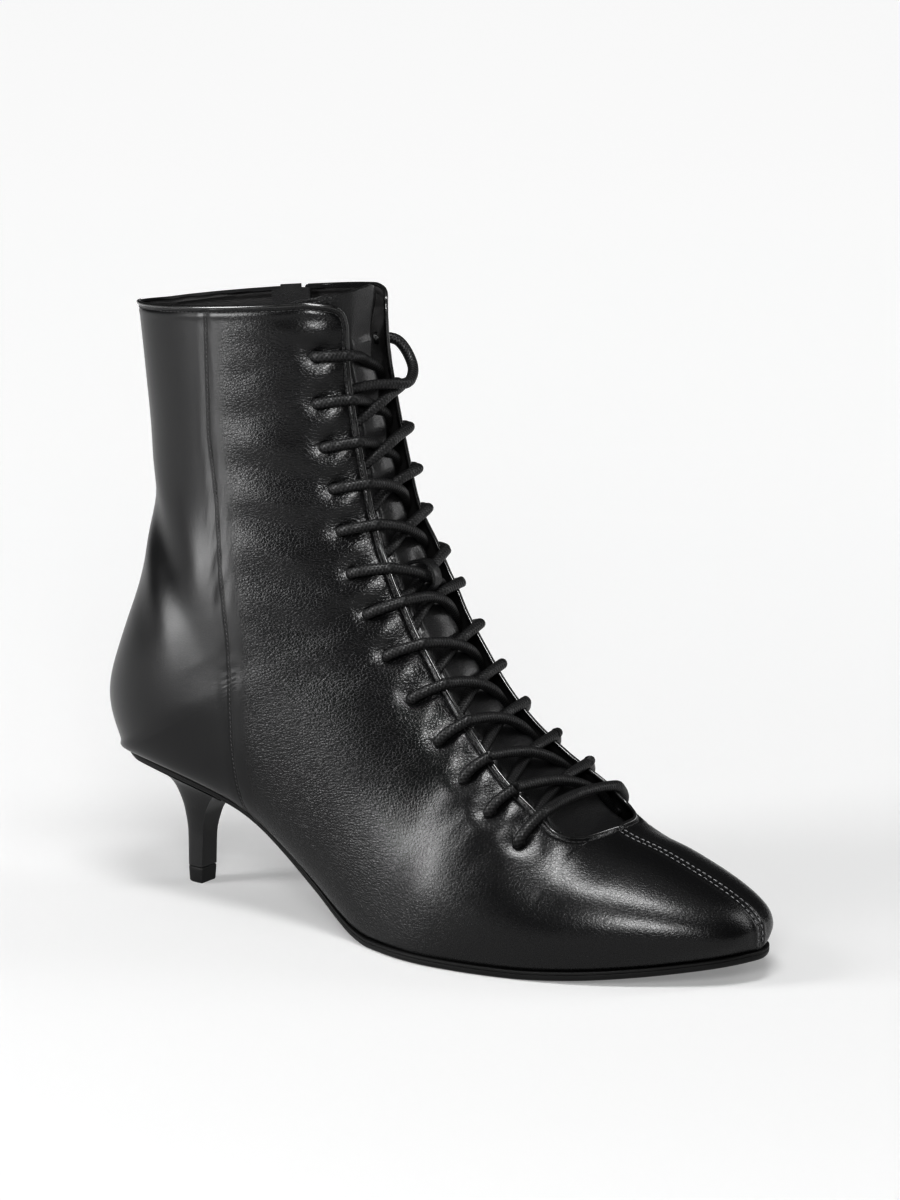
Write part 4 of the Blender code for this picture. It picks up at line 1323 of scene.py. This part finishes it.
work = bmesh.new()
rows = []
for up, grow in (
    (0.0, 0.865),
    (0.00015, 0.895),
    (0.0005, 0.925),
    (0.0016, 0.940),
    (0.0036, 0.972),
    (0.0044, 0.985),
    (0.0048, 0.975),
    (TOP_PIECE_HEIGHT, 0.955),
):
    rows.append([Vector((p.x, p.y, up)) for p in (stem_point(turn, grow) for turn in TURNS)])
grid = lay_rows(work, rows, closed=True)
close_end(work, grid[0])
close_end(work, grid[-1])
top_piece = new_piece("heel_top_lift", work, [sole_finish], 42.0)
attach(top_piece, "boot")
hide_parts("heel_top_piece")
print("heel faces", len(heel.data.polygons))

# %% [markdown]
# Tongue and keeper
#
# The tongue is one grained sheet that lies behind the facings. Between the rows of lace it puffs
# up softly, and under the facings it lies deeper, because the lace runs between the two there. A
# narrow leather strap on its middle, the keeper, holds the lace's sixth row.

# %% Tongue
TONGUE_ENDS = [
    (5.3, 0.45, 0.45),
    (5.8, 0.85, 0.85),
    (6.6, 1.00, 1.00),
    (17.0, 1.00, 1.00),
    (20.0, 1.00, 0.85),
    (21.2, 1.00, 0.62),
    (22.0, 0.98, 0.40),
    (22.12, 0.75, 0.20),
]
TONGUE_MIDDLE = 0.0029
TONGUE_UNDER = 0.0054
TONGUE_LAP = 0.012
ROW_NUMBERS = [(place, float(EYELET_ROWS - i)) for i, place in enumerate(reversed(ROWS))]


def row_number(place):
    return float(np.interp(place, [r[0] for r in ROW_NUMBERS], [r[1] for r in ROW_NUMBERS]))


def sag(place):
    """How far the straight line between the facings runs below the last's crown."""
    half = throat_half(min(max(place, 6.33), 21.0))
    chord = (crown_point(place, half) + crown_point(place, -half)) / 2
    return (crown_point(place, 0.0) - chord).length


def flattened(place, x, share):
    """The part of the sag that a sheet or cord at x follows."""
    half = throat_half(min(max(place, 6.33), 21.0))
    return share * sag(place) * max(0.0, 1.0 - (x / half) ** 2)


def tongue_depth(place, x):
    half = throat_half(min(max(place, 6.63), 21.0))
    under = soft_step((abs(x) - (half - 0.0045)) / 0.0040)
    depth = blend(TONGUE_MIDDLE, TONGUE_UNDER, float(under))
    fade = soft_step((place - 5.9) / 0.5) * (1.0 - 0.5 * soft_step((place - ROWS[0]) / 1.2))
    depth += flattened(place, x, 0.92) * float(fade)
    laced = ROWS[-1] < place < ROWS[0]
    if laced:
        depth -= 0.0009 * (1.0 - under) * (math.cos(math.pi * row_number(place)) ** 2 - 0.35)
    else:
        depth = blend(depth, 0.0027, 0.8 * float(soft_step((place - ROWS[0]) / 1.2)))
    return depth


def tongue_reach(place, side):
    column = 1 if side < 0 else 2
    share = read_curve([(row[0], row[column]) for row in TONGUE_ENDS], place)
    return (throat_half(min(max(place, 6.6), 21.0)) + TONGUE_LAP) * share


rows = []
for place in [*spread(5.3, 21.8, 0.09), *spread(21.8, 22.12, 0.02), 22.12]:
    left, right = tongue_reach(place, -1), tongue_reach(place, 1)
    across = [blend(-left, right, j / 40) for j in range(41)]
    rows.append([crown_skin(place, x, tongue_depth(place, x)) for x in across])
work = bmesh.new()
lay_rows(work, rows)
tongue = new_piece("boot_tongue", work, [tongue_leather], 60.0)
facing_up = sum(face.normal.y * face.area for face in tongue.data.polygons)
if facing_up > 0:
    tongue.data.flip_normals()
body = tongue.modifiers.new("body", "SOLIDIFY")
body.thickness = 0.0018
body.offset = -1.0
rim = tongue.modifiers.new("rim", "BEVEL")
rim.width = 0.0005
rim.segments = 3
rim.limit_method = "ANGLE"
rim.angle_limit = math.radians(60.0)
apply_all(tongue)
smooth(tongue, 50.0)
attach(tongue, "boot")
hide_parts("tongue")
print("tongue faces", len(tongue.data.polygons))

# %% Keeper strap
KEEPER_WIDTH = 0.0042


def strap(name, path, outward, width, thickness, finish):
    """A flat strap with rounded edges along a path. Outward is its face's direction at each point."""
    shape = [(-0.5, -0.25), (-0.42, 0.42), (0.0, 0.5), (0.42, 0.42), (0.5, -0.25)]
    shape += [(0.4, -0.5), (-0.4, -0.5)]
    rows = []
    for i, point in enumerate(path):
        ahead = (path[min(i + 1, len(path) - 1)] - path[max(i - 1, 0)]).normalized()
        across = ahead.cross(outward[i]).normalized()
        out = across.cross(ahead).normalized()
        rows.append([point + across * (x * width) + out * (y * thickness) for x, y in shape])
    return loft(name, rows, [finish], 60.0)


keeper_foot = walk_up(ROWS[7], EYELET_PITCH - 0.0013)
keeper_stops = [
    (0.0002, 0.0034),
    (0.0004, 0.0014),
    (0.0010, -0.0012),
    (0.0024, -0.0036),
    (0.0044, -0.0046),
    (0.0070, -0.0046),
    (0.0091, -0.0036),
    (0.0105, -0.0012),
    (0.0111, 0.0014),
    (0.0113, 0.0034),
]
LACE_SAG = 0.85
keeper_sag = flattened(keeper_foot, 0.0, LACE_SAG)
keeper_line = []
for up, depth in keeper_stops:
    keeper_line.append(crown_skin(walk_up(keeper_foot, up + 1e-6), 0.0, depth + keeper_sag))
keeper_path = rounded(keeper_line, 5)
keeper_middle = crown_skin(walk_up(keeper_foot, 0.0057), 0.0, 0.0012 + keeper_sag)
keeper_out = [(point - keeper_middle).normalized() for point in keeper_path]
keeper = strap("tongue_keeper_strap", keeper_path, keeper_out, KEEPER_WIDTH, 0.0012, tongue_leather)
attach(keeper, "boot")
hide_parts("tongue_keeper")

# %% [markdown]
# Stitches
#
# Each stitch is one small capsule of thread whose ends dip into the leather. The lines are drawn on
# the last and then snapped to the shaped leather, so the stitches follow its beads and grooves.


# %% Stitch tools
STITCH_RINGS = [(-0.50, 0.45, -0.9), (-0.40, 0.85, -0.1), (-0.15, 1.0, 0.25), (0.15, 1.0, 0.25)]
STITCH_RINGS += [(0.40, 0.85, -0.1), (0.50, 0.45, -0.9)]


def snapped(points):
    """Each point moved to the leather's outer face, with that face's normal."""
    found = [outer_skin.find_nearest(point)[:2] for point in points]
    return [(place, normal) for place, normal in found if place is not None]


def sew(name, lines, pitch, length, radius, finish, slant=0.0):
    """One mesh of stitches along lines of world points."""
    work = bmesh.new()
    for line in lines:
        marks = snapped(resample(line, pitch))
        for (here, normal), (there, _) in zip(marks, marks[1:]):
            ahead = (there - here).normalized()
            across = normal.cross(ahead).normalized()
            ahead = (ahead + across * slant).normalized()
            across = normal.cross(ahead).normalized()
            rings = []
            for share, fat, up in STITCH_RINGS:
                middle = here.lerp(there, 0.5) + ahead * (share * length) + normal * (up * radius)
                ring = []
                for k in range(6):
                    angle = k * math.pi / 3
                    offset = across * math.cos(angle) + normal * math.sin(angle)
                    ring.append(work.verts.new(middle + offset * (radius * fat)))
                rings.append(ring)
            for first, second in zip(rings, rings[1:]):
                for k in range(6):
                    j = (k + 1) % 6
                    work.faces.new((first[k], first[j], second[j], second[k]))
            work.faces.new(rings[0][::-1])
            work.faces.new(rings[-1])
    piece = new_piece(name, work, [finish], 80.0)
    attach(piece, "boot")
    return piece


def edge_line(side, inset):
    """The line that lies this far inside the facing and the collar."""
    normals = grid_normals(outer[side])
    count = len(PLACES)
    path, outward, inner = [], [], []
    for i in range(foot_row, count):
        path.append(outer[side][i, -1])
        outward.append(normals[i, -1])
        inner.append(outer[side][i, -14])
    for j in range(outer[side].shape[1] - 2, -1, -1):
        path.append(outer[side][-1, j])
        outward.append(normals[-1, j])
        inner.append(outer[side][-9, j])
    path, outward, inner = np.array(path), np.array(outward), np.array(inner)
    ahead = np.gradient(path, axis=0)
    for _ in range(6):
        ahead[1:-1] = (ahead[:-2] + ahead[1:-1] + ahead[2:]) / 3
        outward[1:-1] = (outward[:-2] + outward[1:-1] + outward[2:]) / 3
    inward = np.cross(outward, ahead)
    inward /= np.linalg.norm(inward, axis=1, keepdims=True)
    if np.mean(np.sum(inward * (inner - path), axis=1)) < 0:
        inward = -inward
    return path + inward * inset


def side_line(seam, low, high, side):
    """The seam's line on the side of the boot, from this height to that one."""
    table = np.array(seam)[::-1]
    line = []
    for up in np.linspace(low, high, 160):
        along = float(np.interp(up, table[:, 1], table[:, 0]))
        start = world_point(Vector((side * 0.1, along, up)))
        place = outer_skin.ray_cast(start, Vector((-side, 0.0, 0.0)))[0]
        if place is not None:
            line.append(place)
    return line


# %% Rows of stitches
edge_rows = []
for side in (-1, 1):
    line = [Vector(point) for point in edge_line(side, 0.0020)]
    zip_middle = zip_along(COLLAR)
    if side > 0:
        fore = [p for p in line if p.y > zip_middle + 0.0062]
        back = [p for p in line if p.y < zip_middle - 0.0062]
        edge_rows += [fore, back]
    else:
        edge_rows.append(line)
edge_rows = [[world_point(point) for point in line] for line in edge_rows]
edge_stitches = sew("edge_stitches", edge_rows, 0.0019, 0.0015, 0.00017, dark_thread)

centre_rows = []
for x in (-0.00125, 0.00125):
    places = spread(0.5, THROAT_FOOT - 0.06, 0.05)
    centre_rows.append([world_point(crown_point(place, x)) for place in places])
centre_stitches = sew("toe_seam_stitches", centre_rows, 0.0021, 0.0016, 0.00026, thread)

seam_rows = [side_line(SIDE_SEAM, 0.030, 0.198, -1), side_line(ZIP_SEAM, 0.030, ZIP_SEAM_TOP, 1)]
seam_stitches = sew("side_seam_stitches", seam_rows, 0.0015, 0.0010, 0.00016, dark_thread, 0.35)

zip_rows = []
for offset in (-ZIP_SLOT / 2 - 0.0018, ZIP_SLOT / 2 + 0.0018):
    places = spread(ZIP_FOOT - 0.1, COLLAR - 0.15, 0.1)
    zip_rows.append([world_point(side_point(place, 1, zip_along(place) + offset)) for place in places])
zip_stitches = sew("zip_stitches", zip_rows, 0.0021, 0.0016, 0.00017, dark_thread)
stitched = (edge_stitches, centre_stitches, seam_stitches, zip_stitches)
print("stitch faces", sum(len(piece.data.polygons) for piece in stitched))

# %% [markdown]
# Zip
#
# The inner side closes with a zip. Its woven tape lies behind the leather and ends just above the
# collar. The closed teeth are modelled one by one, and the slider with its bridge and pull is metal
# in the same dark tone.

# %% Zip tape and teeth
TAPE_HALF = 0.00725
TAPE_DEPTH = WALL + 0.0007
rows = []
TAPE_TOP = COLLAR - 0.05
for place in [*spread(ZIP_FOOT - 0.15, TAPE_TOP, 0.12), TAPE_TOP, TAPE_TOP + 0.02, COLLAR + 0.05]:
    middle = zip_along(place)
    half = TAPE_HALF if place <= TAPE_TOP else 0.0038
    profile = [(-half + 2 * half * j / 16, TAPE_DEPTH) for j in range(17)]
    profile += [(x, TAPE_DEPTH + 0.0007) for x, _ in reversed(profile)]
    rows.append([side_skin(place, 1, middle + x, depth) for x, depth in profile])
tape = loft("zip_tape_cloth", rows, [tape_finish], 50.0)
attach(tape, "boot")
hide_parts("zip_tape")

deselect()
bpy.ops.mesh.primitive_cube_add(size=1.0)
tooth = bpy.context.object
tooth.data.transform(Matrix.Diagonal((0.0026, 0.00080, 0.0013, 1.0)))
bevel = tooth.modifiers.new("round", "BEVEL")
bevel.width = 0.00022
bevel.segments = 2
apply_all(tooth)


def zip_frame(place):
    """On the leather over the zip's line: X along the boot, Y up the zip, Z outwards."""
    here = world_point(side_point(place, 1, zip_along(place)))
    above = world_point(side_point(place + 0.05, 1, zip_along(place + 0.05)))
    outside = world_point(side_skin(place, 1, zip_along(place), -0.001))
    up = (above - here).normalized()
    across = up.cross(outside - here).normalized()
    out = across.cross(up).normalized()
    return Matrix.Translation(here) @ Matrix((across, up, out)).transposed().to_4x4()


TOOTH_PITCH = 0.0013
tooth_places = spread(ZIP_FOOT + 0.06, COLLAR - 0.15, 0.02)
travelled = lengths_along([side_point(place, 1, zip_along(place)) for place in tooth_places])
work = bmesh.new()
for k in range(int(travelled[-1] / TOOTH_PITCH * 2)):
    place = float(np.interp(k * TOOTH_PITCH / 2, travelled, tooth_places))
    shift = 0.00085 if k % 2 else -0.00085
    spot = zip_frame(place) @ Matrix.Translation((shift, 0.0, -0.0015))
    before = len(work.verts)
    work.from_mesh(tooth.data)
    work.verts.ensure_lookup_table()
    bmesh.ops.transform(work, matrix=spot, verts=work.verts[before:])
bpy.data.objects.remove(tooth, do_unlink=True)
data = bpy.data.meshes.new("zip_teeth")
work.to_mesh(data)
work.free()
teeth = bpy.data.objects.new("zip_teeth", data)
bpy.context.scene.collection.objects.link(teeth)
data.materials.append(teeth_finish.material)
smooth(teeth, 40.0)
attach(teeth, "boot")
print("teeth faces", len(teeth.data.polygons))


# %% [markdown]
# Slider and pull
#
# The slider is a plate with drawn-in sides and a small bridge that holds the pull's pin. The pull
# is a slim bar with a slot at its free end. Both are cut out of blocks with operators and bevels.

# %% Slider and pull
SLIDER_FLOOR = -0.0003
SLIDER_DECK = 0.0011


def block(name, low, high):
    deselect()
    bpy.ops.mesh.primitive_cube_add(size=1.0)
    made = bpy.context.object
    made.name = name
    extent = [b - a for a, b in zip(low, high)]
    middle = [(a + b) / 2 for a, b in zip(low, high)]
    made.data.transform(Matrix.Translation(middle) @ Matrix.Diagonal((*extent, 1.0)))
    return made


def combine(piece, tool, operation):
    activate(piece)
    step = piece.modifiers.new("combine", "BOOLEAN")
    step.operation = operation
    step.object = tool
    step.solver = "EXACT"
    apply_all(piece)
    bpy.data.objects.remove(tool, do_unlink=True)


def soften(piece, width):
    activate(piece)
    step = piece.modifiers.new("soften", "BEVEL")
    step.width = width
    step.segments = 3
    step.limit_method = "ANGLE"
    step.angle_limit = math.radians(30.0)
    step.harden_normals = False
    apply_all(piece)
    smooth(piece, 45.0)


def slider_place():
    place = float(COLLAR)
    top = side_point(COLLAR, 1, zip_along(COLLAR))
    while place > ZIP_FOOT and (top - side_point(place, 1, zip_along(place))).length < 0.0144:
        place -= 0.05
    return place


slider_spot = zip_frame(slider_place())
slider = block("zip_slider_body", (-0.0033, -0.0044, SLIDER_FLOOR), (0.0033, 0.0044, SLIDER_DECK))
activate(slider)
bpy.ops.object.mode_set(mode="EDIT")
bpy.ops.mesh.select_all(action="SELECT")
bpy.ops.mesh.subdivide(number_cuts=3)
bpy.ops.object.mode_set(mode="OBJECT")
for vertex in slider.data.vertices:
    lower = max(0.0, -vertex.co.y / 0.0044)
    vertex.co.x *= 1.0 - 0.28 * lower**1.5
combine(slider, block("bridge", (-0.0012, -0.0013, 0.0007), (0.0012, 0.0035, 0.0037)), "UNION")
combine(slider, block("gap", (-0.0020, -0.0004, SLIDER_DECK), (0.0020, 0.0026, 0.0028)), "DIFFERENCE")
soften(slider, 0.00028)
slider.data.transform(slider_spot)
slider.data.materials.clear()
slider.data.materials.append(metal.material)
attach(slider, "boot")
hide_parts("zip_slider")

pin_lift = 0.0003 + 0.00045
pin_spot = slider_spot @ Matrix.Translation((0.0, -0.0004 + pin_lift, SLIDER_DECK + pin_lift))
pull = block("zip_pull_bar", (-0.0026, -0.0200, -0.00045), (0.0026, 0.00045, 0.00045))
combine(pull, block("window", (-0.0015, -0.0062, -0.002), (0.0015, -0.00045, 0.002)), "DIFFERENCE")
combine(pull, block("slot", (-0.0012, -0.0180, -0.002), (0.0012, -0.0092, 0.002)), "DIFFERENCE")
soften(pull, 0.00022)
pull.data.transform(pin_spot)
pull.data.materials.clear()
pull.data.materials.append(metal.material)
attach(pull, "pull")
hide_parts("zip_pull")
print("slider and pull made", len(slider.data.polygons), len(pull.data.polygons))

# %% [markdown]
# Lace
#
# One cord runs through all the eyelets. It comes out of an eyelet, lies over its own facing, goes
# down across the gap and under the other facing, and comes out of the next eyelet there. At the
# lowest row it runs straight across. Where two bars cross, one lies on the tongue and the other
# on top of it. Both ends stop inside, behind the highest eyelets. It is wound by its true path,
# held all along, so it is no loose cord.

# %% Lace path
RESTING = -(CORD_RADIUS + 0.00025)
UNDER = WALL + CORD_RADIUS + 0.0002
MEDIAL_ON_TOP = 3


def eyelet_x(row, side):
    return facing_offset(ROWS[row], side, EYELET_SETBACK)


EYELET_X = {side: [eyelet_x(row, side) for row in range(EYELET_ROWS)] for side in (-1, 1)}


def bar(row, side):
    """The stops of one bar, from inside the eyelet of this row to behind the next one."""
    start_x, end_x = EYELET_X[side][row], EYELET_X[-side][row + 1]
    start, end = ROWS[row], ROWS[row + 1]
    half_start, half_end = throat_half(start), throat_half(end)
    on_top = (side > 0) == (row < MEDIAL_ON_TOP)
    middle = -0.0013 if on_top else 0.0022
    lip = abs(start_x) - half_start
    reach = abs(start_x) + abs(end_x)

    def stop(share, depth, nudge=0.0, drop=0.0):
        place, x = blend(start, end, share + drop), blend(start_x, end_x, share) + nudge
        return crown_skin(place, x, depth + flattened(place, x, LACE_SAG))

    lip_share = lip / reach
    last_lip = (abs(end_x) - half_end) / reach
    stops = [
        stop(0.0, 0.0012, side * 0.0003),
        stop(0.005, -0.0006, side * 0.0001),
        stop(0.05, RESTING - 0.0002),
        stop(0.14, RESTING),
        stop(lip_share * 0.92, RESTING - 0.0002),
        stop(blend(lip_share, 0.5, 0.5), blend(RESTING, middle, 0.55)),
        stop(0.5, middle),
        stop(blend(0.5, 1.0 - last_lip, 0.55), blend(middle, UNDER, 0.45)),
        stop(1.0 - last_lip * 0.96, UNDER + 0.0002),
        stop(1.0 - last_lip * 0.5, UNDER),
        stop(0.95, UNDER),
        stop(0.995, UNDER - 0.0006, side * -0.0001),
    ]
    if side > 0 and row == 0:
        slack = [(0.02, -0.0042, 0.10), (0.04, -0.0066, 0.40), (0.10, -0.0070, 0.75)]
        slack += [(0.22, -0.0052, 0.90), (0.36, -0.0030, 0.74), (0.52, -0.0004, 0.52)]
        slack += [(1.0 - last_lip * share, UNDER, last_lip * share) for share in (0.96, 0.5, 0.12)]
        stops[2:-1] = [stop(share, depth, 0.0, drop) for share, depth, drop in slack]
    return stops


def half_lace(side):
    """From behind the highest eyelet of this side down to the lowest row."""
    x = EYELET_X[side][0]
    start = ROWS[0]
    stops = [crown_skin(start + 0.004, x + side * 0.0006, WALL + 0.0012)]
    hand = side
    for row in range(EYELET_ROWS - 1):
        stops += bar(row, hand)
        hand = -hand
    x = EYELET_X[hand][-1]
    last = ROWS[-1]
    stops.append(crown_skin(last, x + hand * 0.0003, 0.0012))
    stops.append(crown_skin(last, x + hand * 0.0001, -0.0006))
    stops.append(crown_skin(last, x - hand * 0.0020, RESTING))
    stops.append(crown_skin(last, x - hand * 0.0060, RESTING))
    return stops, hand


def lace_points():
    near, hand = half_lace(-1)
    far, _ = half_lace(1)
    last = ROWS[-1]
    x = throat_half(last)
    across = []
    for share in (0.95, 0.5, 0.0, -0.5, -0.95):
        low = flattened(last, x * share, 1.0)
        across.append(crown_skin(last, hand * x * share, RESTING + low))
    return near + across + far[::-1]


lace_line = resample(rounded(lace_points(), 10), 0.0011)
print("lace length", round(lengths_along(lace_line)[-1], 3))

# %% Lace body


def cord_body(name, line, radius, sides, finish):
    """A round cord along a line, with a map of length and turn."""
    work = bmesh.new()
    uv = work.loops.layers.uv.new("length and turn")
    frame_out = Vector((0.0, 0.0, 1.0))
    rings = []
    lengths = lengths_along(line)
    for i, point in enumerate(line):
        ahead = (line[min(i + 1, len(line) - 1)] - line[max(i - 1, 0)]).normalized()
        frame_out = (frame_out - ahead * frame_out.dot(ahead)).normalized()
        other = ahead.cross(frame_out)
        ring = []
        for k in range(sides):
            angle = 2 * math.pi * k / sides
            offset = frame_out * math.cos(angle) + other * math.sin(angle)
            ring.append(work.verts.new(world_point(point + offset * radius)))
        rings.append(ring)
    for i in range(len(rings) - 1):
        for k in range(sides):
            j = (k + 1) % sides
            face = work.faces.new((rings[i][k], rings[i][j], rings[i + 1][j], rings[i + 1][k]))
            marks = [(i, k), (i, k + 1), (i + 1, k + 1), (i + 1, k)]
            for corner, (along_index, turn_index) in zip(face.loops, marks):
                corner[uv].uv = (lengths[along_index], turn_index / sides)
    work.faces.new(rings[0][::-1])
    work.faces.new(rings[-1])
    return new_piece(name, work, [finish], 60.0)


lace = cord_body("boot_lace", lace_line, CORD_RADIUS, 14, cord)
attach(lace, "boot")
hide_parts(*[f"lace_crossing_{row:02d}" for row in range(1, EYELET_ROWS)], "lace_bar")
print("lace faces", len(lace.data.polygons))

# %% [markdown]
# Folded edges
#
# The facings and the collar end in a thin, tightly folded and polished edge. It shows as one bright
# line, so it gets a fine bead of its own, glossier than the leather beside it.

# %% Beads along the folded edges
BEAD_RADIUS = 0.00068
BEAD_INSET = 0.00045
BEAD_SPACING = 0.0009
BEAD_ZIP_GAP = 0.0045
bead_leather = Finish(
    "folded edge", IOR=1.5, Specular_IOR_Level=0.6, Coat_Weight=0.9, Coat_Roughness=0.12
)
bead_cloud = bead_leather.noise(300.0, 2.0)
bead_leather.tint(bead_cloud, (0.003, 0.003, 0.003), (0.009, 0.009, 0.009))
bead_leather.feed("Roughness", 0.22 + 0.12 * bead_cloud)
for side, name in ((-1, "outer_edge_bead"), (1, "inner_edge_bead")):
    line = [Vector(point) for point in edge_line(side, BEAD_INSET)][:-3]
    if side > 0:
        line = [p for p in line if p.y > zip_along(COLLAR) + BEAD_ZIP_GAP]
    bead = cord_body(name, resample(line, BEAD_SPACING), BEAD_RADIUS, 8, bead_leather)
    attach(bead, "boot")
    print(name, len(bead.data.polygons))

# %% Clear the selection
bpy.ops.object.select_all(action="DESELECT")
